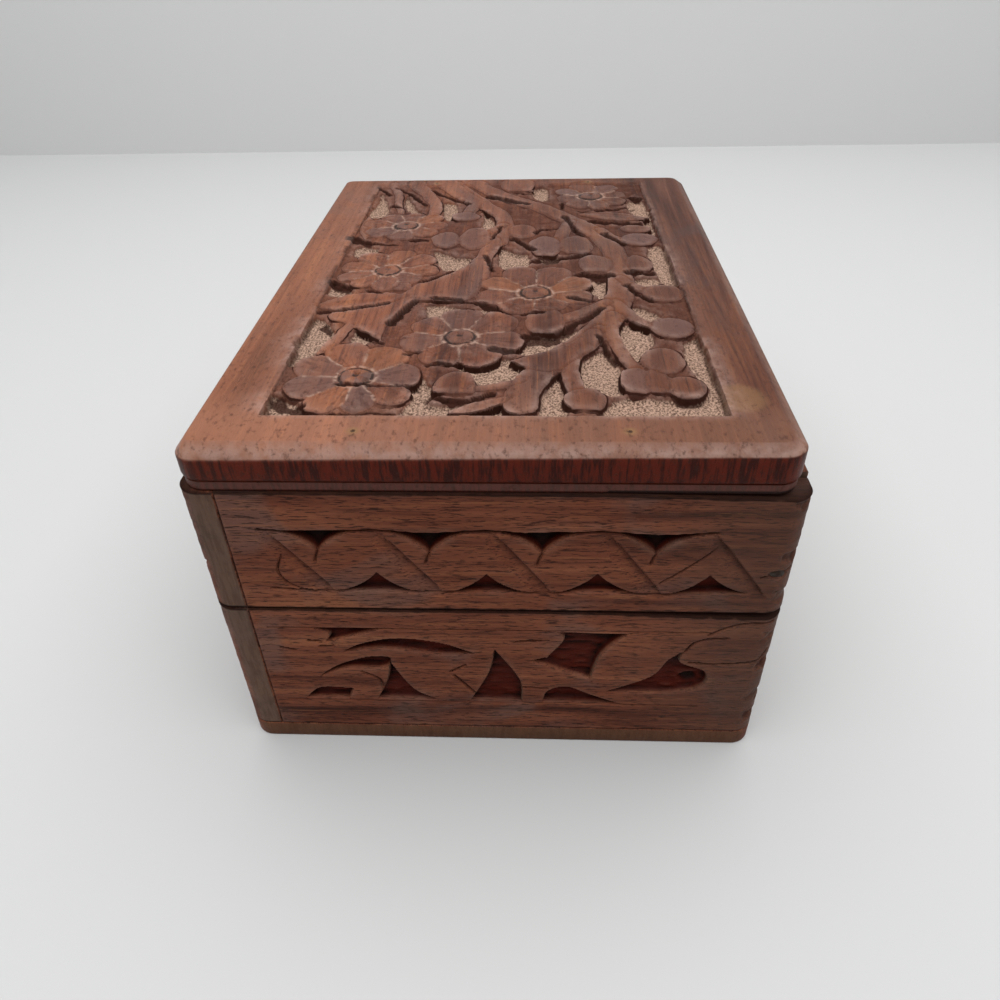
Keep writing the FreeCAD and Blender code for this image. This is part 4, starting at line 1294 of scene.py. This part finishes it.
        # On the bevel rings the third value paints a sheen, strongest along the near end.
        for inset, drop, rubbed_and_sheen, tone in self.profile():
            outer = float(inset < self.setback + 0.5)
            sheet.draw_out(lambda a, b: (*self.rounded(a, b, inset), self.sizes.top - self.fall(drop, b)),
                           rim=lambda a, b: rubbed_and_sheen * (0.3 + 0.7 * float(ramp(0.92, 0.99, np.array(a)))),
                           tone=tone, nose=outer * (drop > self.bevel),
                           pit=lambda a, b: outer * self.gap_shade(drop, b))
        sheet.close()
        card = PieceCard("lid_carved_top", "lid", ("lid_top_panel",), "lid_rosewood")
        bosses = tuple(((end - v) * MM, (u - self.drawing_edge) * MM, radius * MM)
                       for u, v, radius in relief.bosses())
        return card.hand_over(sheet.bm, replace(self.finish, bosses=bosses).material())


class WallCarving:
    """Plain wall face, the ground of the carved ones."""

    def cut(self, along: np.ndarray, up: np.ndarray, face: float) -> np.ndarray:
        """Depth of the carving in millimetres.

        Args:
            along: Places along the face from its left edge.
            up: Heights above the underside.
            face: Length of the face, not used by the plain face.

        Returns:
            One depth for each place.
        """
        return 0.06 + 0.05 * lattice_noise(along * 0.25, up * 0.9, 11)

    @staticmethod
    def score(along: np.ndarray, up: np.ndarray, points: Sequence[Pair], width: float,
              depth: float) -> np.ndarray:
        """Depth of a line cut with a knife through drawn points."""
        inside, _ = ribbon(along, up, curve(points, 4), width, width)
        return depth * ramp(0.0, width / 2, inside)


@dataclass
class WaveBand(WallCarving):
    """Twisted rope of round lobes between two cut lines, on the lid's rails."""

    split: float
    period: float = 18.8
    first: float = 21.4
    low: float = 4.5
    high: float = 17.7
    overlap: float = 2.3
    chip_depth: float = 2.8
    last_crease: float = 90.4
    cross: Sequence[Pair] = ((79.0, 6.9), (83.5, 10.8), (88.0, 15.2))

    def cut(self, along: np.ndarray, up: np.ndarray, face: float) -> np.ndarray:
        """Depth of the wave band.

        Args:
            along: Places along the face from its left edge.
            up: Heights above the underside.
            face: Length of the face.

        Returns:
            One depth for each place.
        """
        z = up - self.split
        wander = 0.30 * lattice_noise(along * 0.13, z * 0.1, 14)
        depth = super().cut(along, up, face)
        half = self.period / 2
        count = int((face - self.first - half) / half)
        ends = self.first - half, self.first + count * half
        for index in range(count + 1):
            middle = self.first + index * half
            depth = np.maximum(depth, self.chip(along, z + wander, middle, index % 2 == 0))
            if index % 2 == 0:
                depth = np.maximum(depth, self.crease(along, z, middle - 0.5 * half))
        for edge, lift in ((self.high, 0.35), (self.low, -0.35)):
            turns = np.arange(ends[0], ends[1] + half, half)
            points = [(x, edge - abs(lift) * math.cos(math.pi * (x - self.first) / half)) for x in turns]
            depth = np.maximum(depth, self.score(along, z, points, 0.9, 0.95 if lift > 0 else 0.7))
        depth = np.maximum(depth, self.score(along, z, self.cross, 0.6, 0.6))
        depth = np.maximum(depth, self.crease(along, z, self.last_crease))
        curl = [(ends[0] + 3.0, 12.6), (ends[0] + 1.8, 8.6), (ends[0] + 4.0, 5.4), (ends[0] + 9.0, 3.9)]
        return np.maximum(depth, self.score(along, z, curl, 0.7, 0.6))

    def chip(self, along: np.ndarray, z: np.ndarray, middle: float, upper: bool) -> np.ndarray:
        """Depth of the chip between two lobes, deepest along its straight edge.

        Args:
            along: Places along the face.
            z: Heights above the rail's foot.
            middle: Middle of the chip.
            upper: Whether it hangs from the upper line.

        Returns:
            One depth for each place.
        """
        half = self.period / 2
        radius = half + self.overlap
        edge, way = (self.high, 1.0) if upper else (self.low, -1.0)
        hub = edge - way * (radius - 0.2)
        clear = np.hypot(np.abs(along - middle) - half, z - hub)
        below = (edge - z) * way
        inside = np.minimum(np.minimum(clear - radius, below + 0.25), half - np.abs(along - middle))
        inside = np.where(below > radius * 0.75, -1.0, inside)
        fall = 0.55 + 0.45 * ramp(5.0, 0.5, below)
        depth = self.chip_depth * (1.0 if upper else 0.62) * fall * ramp(0.0, 0.5, inside)
        if not upper:
            return depth
        long = 6.0 + math.sin(middle)
        tail = [(middle, edge - 4.4), (middle - 0.4, edge - 5.2), (middle - 0.8, edge - long)]
        return np.maximum(depth, self.score(along, z, tail, 0.9, 0.6))

    def crease(self, along: np.ndarray, z: np.ndarray, lobe: float) -> np.ndarray:
        """Slanted crease across a lobe, its lower side eased down to the line."""
        points = [(lobe - 1.8, self.high - 2.0), (lobe + 1.6, 11.0), (lobe + 5.4, 5.8)]
        inside, off = ribbon(along, z, curve(points, 4), 7.0, 7.0)
        eased = 0.75 * np.clip(1 + off, 0.0, 1.0) * ramp(0.0, 1.2, inside)
        return np.where(off < 0, eased, self.score(along, z, points, 0.6, 0.7))


@dataclass
class LeafScroll(WallCarving):
    """Leaf scroll between two cut lines, on the tray's boards; outlines as for loop()."""

    depth: float = 2.2
    repeat: float = 71.0
    borders: Pair = (11.7, 32.2)
    knot: Pair = (87.0, 18.6)
    recesses: Dict[str, Sequence[Pair]] = field(default_factory=lambda: {
        "top nick": [(16.8, 32.2), (16.8, 32.2), (20.2, 30.6), (19.4, 28.4), (24.4, 29.8), (30.8, 32.4),
                     (30.8, 32.4)],
        "arch": [(21.6, 25.5), (21.6, 25.5), (30.0, 26.6), (41.5, 25.0), (47.0, 25.8), (47.0, 25.8),
                 (40.5, 28.6), (33.0, 29.7), (26.0, 28.2)],
        "eye": [(16.0, 18.2), (16.0, 18.2), (21.5, 20.8), (28.6, 21.0), (30.8, 22.6), (30.4, 24.6),
                (26.0, 24.3), (20.4, 21.9)],
        "foot": [(12.8, 12.1), (12.8, 12.1), (21.6, 12.1), (21.6, 12.1), (22.8, 15.2), (22.8, 15.2),
                 (16.4, 15.5)],
        "fin": [(27.0, 12.1), (27.0, 12.1), (39.8, 12.1), (39.8, 12.1), (34.6, 15.4), (30.6, 23.4),
                (30.6, 23.4), (29.6, 18.0)],
        "spire": [(45.4, 12.2), (45.4, 12.2), (55.6, 11.9), (55.6, 11.9), (55.2, 18.5), (50.4, 27.2),
                  (50.4, 27.2), (49.2, 20.5)],
        "dash": [(53.0, 28.8), (53.0, 28.8), (57.0, 28.9), (61.4, 29.8), (61.4, 29.8), (56.0, 29.7)],
        "flag": [(56.8, 24.0), (56.8, 24.0), (62.3, 21.5), (68.5, 18.9), (68.5, 18.9), (70.3, 26.0),
                 (74.8, 31.6), (74.8, 31.6), (61.6, 31.9), (61.6, 31.9), (63.2, 30.0), (60.2, 25.2),
                 (60.2, 25.2)],
        "wedge": [(59.4, 12.1), (59.4, 12.1), (74.8, 11.8), (74.8, 11.8), (68.6, 14.6), (64.0, 16.8),
                  (60.4, 15.4)],
        "comma": [(71.0, 15.3), (71.0, 15.3), (84.0, 15.2), (89.8, 17.6), (89.6, 21.8), (84.8, 24.2),
                  (85.4, 27.4), (85.4, 27.4), (82.6, 25.0), (79.6, 20.0)],
    })
    repeated: Tuple[str, ...] = ("arch", "eye", "fin", "spire")
    strokes: Sequence[Sequence[Pair]] = (
        ((25.0, 20.2), (28.2, 18.0), (28.6, 14.4)), ((42.0, 20.6), (44.9, 22.5)),
        ((42.6, 19.6), (44.6, 17.0), (46.4, 14.4)), ((10.6, 26.8), (13.2, 26.2)),
        ((16.0, 28.8), (18.4, 28.5)), ((18.0, 27.2), (20.6, 27.4)), ((55.8, 16.4), (60.4, 16.1)),
        ((85.4, 27.2), (86.6, 29.4), (89.0, 30.5), (92.4, 30.8)),
        ((86.4, 24.2), (91.0, 23.9), (98.0, 24.6), (100.4, 27.4)),
        ((89.0, 31.6), (91.6, 33.4), (95.0, 34.6), (100.0, 34.9)),
    )

    def cut(self, along: np.ndarray, up: np.ndarray, face: float) -> np.ndarray:
        """Depth of the leaf scroll.

        Args:
            along: Places along the face from its left edge.
            up: Heights above the underside.
            face: Length of the face.

        Returns:
            One depth for each place.
        """
        depth = super().cut(along, up, face)
        outlines = [loop(recess) for recess in self.recesses.values()]
        if face > 1.7 * self.repeat:
            outlines += [loop(self.recesses[name]) + (self.repeat, 0.0) for name in self.repeated]
        ridges = 0.30 * lattice_noise(along * 0.3, up * 1.5, 12)
        ridges = ridges + 0.12 * lattice_noise(along * 0.9, up * 2.4, 13)
        for outline in outlines:
            inside = polygon(along, up, outline)
            low, high = outline[:, 1].min(), outline[:, 1].max()
            floor = self.depth * (0.62 + 0.38 * ramp(low, high, up)) + ridges
            depth = np.maximum(depth, floor * ramp(-0.05, 0.55, inside))
        knot = np.hypot((along - self.knot[0]) / 2.2, (up - self.knot[1]) / 1.7)
        depth = depth + 0.9 * (1 - ramp(0.4, 1.0, knot))
        for height in self.borders:
            border = [(9.0, height), (face - 12.0, height)]
            depth = np.maximum(depth, self.score(along, up, border, 0.5, 0.35))
        for stroke in self.strokes:
            depth = np.maximum(depth, self.score(along, up, stroke, 0.75, 0.8))
        return depth


@dataclass
class WallBoard:
    """One board of the tray or the lid, bent round the corner that it covers."""

    node: str
    body: str
    side: Side
    sizes: BoxSizes
    carving: WallCarving
    holes: Sequence[Pair] = ()
    cell: float = 0.33
    chips: Sequence[Pair] = ()
    arris: float = 0.28

    def __post_init__(self) -> None:
        """Work out the face and the heights of the board's own tier."""
        ends = self.side in (Side.RIGHT, Side.LEFT)
        size = self.sizes
        self.face = size.width if ends else size.length
        self.reach = (size.length if ends else size.width) / 2
        self.arc_start = self.face - size.corner
        self.arc_end = self.arc_start + size.corner * math.pi / 2
        self.run = self.arc_end + size.wall - size.corner
        self.grain = Grain.ALONG_Y if ends else Grain.ALONG_X
        self.low = size.base_low if self.body == "base" else size.split

    def bend(self, along: np.ndarray, depth: np.ndarray) -> Tuple[np.ndarray, np.ndarray]:
        """Place on the board's plan for a distance along its outer face and a depth below it.

        Args:
            along: Distances along the face and round the covered corner.
            depth: Depths below the face.

        Returns:
            Distances from the face's left edge and from its plane.
        """
        radius = self.sizes.corner
        swing = np.clip((along - self.arc_start) / radius, 0.0, math.pi / 2)
        over = np.maximum(along - self.arc_end, 0.0)
        x = np.minimum(along, self.arc_start) + (radius - depth) * np.sin(swing)
        y = radius - (radius - depth) * np.cos(swing) + over
        return x, y

    def world(self, x: np.ndarray, y: np.ndarray, z: np.ndarray) -> np.ndarray:
        """Places in the frame for places on the board's plan."""
        turn = math.radians(self.side.value)
        local_x, local_y = x - self.face / 2, y - self.reach
        return np.column_stack([local_x * math.cos(turn) - local_y * math.sin(turn),
                                local_x * math.sin(turn) + local_y * math.cos(turn), z + 0 * x])

    def high(self, along: np.ndarray) -> np.ndarray:
        """Height of the board's top edge."""
        y = self.world(*self.bend(along, np.zeros(along.shape)), np.zeros(along.shape))[:, 1]
        if self.body == "base":
            return self.sizes.base_edge(y)
        if self.side is Side.RIGHT:
            return self.sizes.rail_edge(y)
        return np.full(along.shape, self.sizes.rail_high)

    def build(self) -> bpy.types.Object:
        """Cut the carving, bend the sheet and close the board behind it."""
        size, soft = self.sizes, self.arris
        first, last = size.wall + soft, self.run - soft
        tall = (size.base_high if self.body == "base" else size.rail_high) - self.low
        sheet = Sheet(int((last - first) / self.cell), int(tall / self.cell))
        along = first + sheet.across * (last - first)
        high = self.high(along)
        up = self.low + soft + sheet.upward * (high - self.low - 2 * soft)
        depth = self.carving.cut(along, up, self.face)
        for hole_along, hole_up in self.holes:
            depth = np.maximum(depth, self.nail_hole(along - hole_along, up - hole_up))
        depth = np.maximum(depth, self.rubbed_corner(along, up))
        ends = np.minimum(along - first, last - along)
        margin = np.minimum(ends, np.minimum(sheet.upward, 1 - sheet.upward) * tall)
        depth = np.maximum(depth, 0.0) * ramp(0.0, 0.8, margin)
        # The pit mask paints shade into the carving's hollows.
        rim, pit = sheet.shade_masks(depth, round(1.0 / self.cell), 0.8)
        rim = 0.35 * rim
        rim = np.maximum(rim, 0.1 * (1 - ramp(0.0, 0.8, margin)))
        # Painted shade along the face's top and bottom joints.
        seam = np.minimum(sheet.upward, 1 - sheet.upward) * tall
        seam = seam + 0.15 * lattice_noise(along * 0.7, up, 21)
        pit = np.maximum(pit, 0.9 * (1 - ramp(0.05, 0.3, seam)))
        sheet.carry(along=along, up=sheet.upward, cut=depth / 2.0, rim=rim, pit=pit)
        sheet.place(self.world(*self.bend(along, depth), up))
        # The rings behind the face carry painted shade for the gaps and joints, darkest on the first.
        joint = 0.3 if self.side is Side.BACK else 0.85
        rings = ((soft, 0.0, joint), (size.wall - soft, 0.0, 0.15), (size.wall, soft, 0.0))
        for inward, settle, gap_shade in rings:
            sheet.draw_out(lambda s, t: self.rim_place(s, t, first, last, inward, settle), pit=gap_shade)
        sheet.close()
        name = self.node.replace("board", "wall").replace("rail", "wall")
        card = PieceCard(name, self.body, (self.node,), "carved_rosewood")
        finish = RosewoodFinish("rosewood_" + self.grain.name.lower(), self.grain)
        return card.hand_over(sheet.bm, finish.material())

    def nail_hole(self, along: np.ndarray, up: np.ndarray) -> np.ndarray:
        """Depth of a sunk nail's hole and of the crack that leaves it along the grain."""
        hole = 1.3 * (1 - ramp(0.6, 1.25, np.hypot(along / 1.5, up)))
        crack = [(-2.6, -0.5), (0.0, 0.1), (2.4, 1.1)]
        return np.maximum(hole, self.carving.score(along, up, crack, 0.7, 0.9))

    def rubbed_corner(self, along: np.ndarray, up: np.ndarray) -> np.ndarray:
        """Depth of the small chips broken out of the covered corner.

        Args:
            along: Distances along the face and round the corner.
            up: Heights above the table.

        Returns:
            Depths below the face.
        """
        middle = (self.arc_start + self.arc_end) / 2
        depth = np.zeros(along.shape)
        for chip_up, chip_depth in self.chips:
            uneven = 0.5 * lattice_noise(along * 0.8, up * 0.8, 37)
            gap = np.hypot((along - middle) / 2.6, (up - chip_up) / 1.5) + uneven
            depth = np.maximum(depth, chip_depth * (1 - ramp(0.35, 1.25, gap)))
        return depth

    def rim_place(self, along: float, share: float, first: float, last: float, inward: float,
                  settle: float) -> Spot:
        """Place of a rim vertex on one of the rings behind the face.

        Args:
            along: Stored distance along the face.
            share: Stored height, as a share of the sheet.
            first: Where the sheet starts.
            last: Where the sheet ends.
            inward: Depth of the ring behind the face.
            settle: Distance that the ring draws in from the board's edges.

        Returns:
            Place in millimetres.
        """
        soft = self.arris
        s = np.array([along])
        high = float(self.high(s)[0])
        z = self.low + soft + share * (high - self.low - 2 * soft)
        if share < 1e-6:
            z = self.low + settle
        elif share > 1 - 1e-6:
            z = high - settle
        at_start, at_end = along < first + 1e-4, along > last - 1e-4
        if at_start:
            s = np.array([self.sizes.wall + settle])
        elif at_end:
            s = np.array([self.run])
        x, y = self.bend(s, np.array([soft]))
        y = np.maximum(y, inward)
        return tuple(self.world(x, y, np.array([z]))[0].tolist())


@dataclass
class BottomPanel:
    """Panel nailed under the tray's walls."""

    sizes: BoxSizes
    arris: float = 0.3

    def build(self) -> bpy.types.Object:
        """Round a block's corners and ease its edges."""
        size = self.sizes
        bm = bmesh.new()
        bmesh.ops.create_cube(bm, size=1.0)
        span = Vector((size.length, size.width, size.base_low)) * MM
        bmesh.ops.scale(bm, vec=span, verts=bm.verts)
        bmesh.ops.translate(bm, vec=(0.0, 0.0, span.z / 2), verts=bm.verts)
        upright = [edge for edge in bm.edges if abs(edge.verts[0].co.z - edge.verts[1].co.z) > span.z / 2]
        bmesh.ops.bevel(bm, geom=upright, offset=size.corner * MM, affect="EDGES", segments=10,
                        profile=0.5, material=-1)
        level = [edge for edge in bm.edges if abs(edge.verts[0].co.z - edge.verts[1].co.z) < 1e-6]
        bmesh.ops.bevel(bm, geom=level, offset=self.arris * MM, affect="EDGES", segments=2,
                        profile=0.5, material=-1)
        bmesh.ops.recalc_face_normals(bm, faces=bm.faces)
        card = PieceCard("base_bottom_board", "base", ("base_bottom_panel",), "carved_rosewood")
        finish = RosewoodFinish("rosewood_bottom", Grain.ALONG_X, end_grain=(0.096, 0.044, 0.024),
                                end_dark=(0.078, 0.034, 0.018))
        return card.hand_over(bm, finish.material())


@dataclass
class Fittings:
    """Hinges and nails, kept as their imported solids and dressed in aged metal."""

    brass: MetalFinish = MetalFinish("aged_brass", (0.48, 0.31, 0.12), (0.16, 0.095, 0.04), 1.0, 0.34)
    steel: MetalFinish = MetalFinish("rusted_steel", (0.10, 0.085, 0.075), (0.045, 0.026, 0.018), 0.8, 0.55)

    def dress(self) -> None:
        """Give every hinge and nail node its metal."""
        for name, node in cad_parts.items():
            hinge = name.startswith("hinge")
            if not hinge and not name.endswith(("nails", "brads")):
                continue
            material = (self.brass if hinge else self.steel).material()
            node.data.materials.clear()
            node.data.materials.append(material)
            LOG.info("%s: %s", name, material.name)


@dataclass
class Studio:
    """Pale sweep, soft lights and the camera."""

    floor_colour: Colour = (0.495, 0.495, 0.490)
    backdrop_colour: Colour = (0.59, 0.588, 0.580)
    air_colour: Colour = (0.93, 0.96, 1.0)
    air_strength: float = 0.48
    half_sheet: float = 1.6
    backdrop: float = 0.393
    light_place: Spot = (0.0, 0.02, 0.62)
    light_size: float = 1.0
    light_power: float = 8.4
    eye: Spot = (168.06, 6.79, 137.85)
    yaw: float = -3.12
    pitch: float = 37.77
    roll: float = 1.53
    focal: float = 788.3
    image: float = 1000.0
    sensor: float = 36.0

    def build(self) -> None:
        """Set up the floor, the lights, the world and the camera."""
        self.lay_sheet("studio_floor", self.floor_colour, 0.0)
        self.lay_sheet("studio_backdrop", self.backdrop_colour, 90.0)
        self.hang_light("top_softbox")
        world = bpy.data.worlds.new("studio_air")
        bpy.context.scene.world = world
        world.use_nodes = True
        sky = world.node_tree.nodes["Background"]
        sky.inputs["Color"].default_value = (*self.air_colour, 1.0)
        sky.inputs["Strength"].default_value = self.air_strength
        bpy.context.scene.view_settings.view_transform = "Standard"
        self.set_camera()

    def lay_sheet(self, name: str, colour: Colour, tilt: float) -> None:
        """Lay a wide matt sheet, level under the box or stood up behind it.

        Args:
            name: Name of the sheet.
            colour: Its colour.
            tilt: Its turn up from the floor in degrees.
        """
        bm = bmesh.new()
        half = self.half_sheet
        bmesh.ops.create_grid(bm, x_segments=2, y_segments=2, size=half)
        turn = Matrix.Rotation(math.radians(tilt), 3, "Y")
        bmesh.ops.rotate(bm, cent=(0.0, 0.0, 0.0), matrix=turn, verts=bm.verts)
        behind = -self.backdrop if tilt else half - self.backdrop
        bmesh.ops.translate(bm, vec=(behind, 0.0, half * math.sin(math.radians(tilt))), verts=bm.verts)
        mesh = bpy.data.meshes.new(name)
        bm.to_mesh(mesh)
        bm.free()
        paper = bpy.data.materials.new(name)
        paper.use_nodes = True
        shader = paper.node_tree.nodes["Principled BSDF"]
        shader.inputs["Base Color"].default_value = (*colour, 1.0)
        shader.inputs["Roughness"].default_value = 0.9
        mesh.materials.append(paper)
        sheet = bpy.data.objects.new(name, mesh)
        bpy.context.scene.collection.objects.link(sheet)

    def hang_light(self, name: str) -> None:
        """Hang the square soft light, facing the box."""
        lamp = bpy.data.lights.new(name, "AREA")
        lamp.size = self.light_size
        lamp.energy = self.light_power
        holder = bpy.data.objects.new(name, lamp)
        holder.location = self.light_place
        holder.rotation_euler = (-Vector(self.light_place)).to_track_quat("-Z", "Y").to_euler()
        bpy.context.scene.collection.objects.link(holder)

    def set_camera(self) -> None:
        """Stand the camera where the photograph was taken from."""
        yaw, pitch, roll = (math.radians(a) for a in (self.yaw, self.pitch, self.roll))
        ahead = Vector((math.sin(yaw) * math.cos(pitch), math.cos(yaw) * math.cos(pitch), -math.sin(pitch)))
        right = Vector((math.cos(yaw), -math.sin(yaw), 0.0))
        down = ahead.cross(right)
        turned = math.cos(roll) * right + math.sin(roll) * down
        below = math.cos(roll) * down - math.sin(roll) * right
        columns = [Vector((-way.y, way.x, way.z)) for way in (turned, -below, -ahead)]
        lens = bpy.data.cameras.new("view_camera")
        lens.sensor_width = self.sensor
        lens.lens = self.focal * self.sensor / self.image
        lens.clip_start = 0.01
        camera = bpy.data.objects.new("view_camera", lens)
        stand = Matrix.Translation(Vector(self.eye) * MM)
        camera.matrix_world = stand @ Matrix(columns).transposed().to_4x4()
        bpy.context.scene.collection.objects.link(camera)
        bpy.context.scene.camera = camera


def wall_boards(sizes: BoxSizes) -> List[WallBoard]:
    """Boards of both tiers, the back ones left plain and the near corner chipped.

    Args:
        sizes: Main sizes of the box.

    Returns:
        The eight boards.
    """
    names = {Side.FRONT: "front", Side.RIGHT: "right_end", Side.BACK: "back", Side.LEFT: "left_end"}
    boards = []
    for side, word in names.items():
        plain, near = side is Side.BACK, side is Side.RIGHT
        face_end = (sizes.width if side in (Side.RIGHT, Side.LEFT) else sizes.length) - sizes.wall / 2
        holes = [(face_end, sizes.split + NAIL_RISE)]
        scroll = WallCarving() if plain else LeafScroll()
        wave = WallCarving() if plain else WaveBand(sizes.split)
        cell = NEAR_CELL if near else FAR_CELL
        low_chips, high_chips = (BASE_CHIPS, LID_CHIPS) if near else ((), ())
        boards.append(WallBoard("base_%s_board" % word, "base", side, sizes, scroll, (), cell, low_chips))
        boards.append(WallBoard("lid_%s_rail" % word, "lid", side, sizes, wave, holes, cell, high_chips))
    return boards


def main() -> None:
    """Build and dress the box in order."""
    logging.basicConfig(level=logging.INFO, format="%(message)s")
    sizes = BoxSizes.from_frame()
    LidPanel(sizes, LidFinish("polished_rosewood", Grain.ALONG_X)).build()
    for board in wall_boards(sizes):
        board.build()
    BottomPanel(sizes).build()
    Fittings().dress()
    Studio().build()


if __name__ == "__main__":
    main()
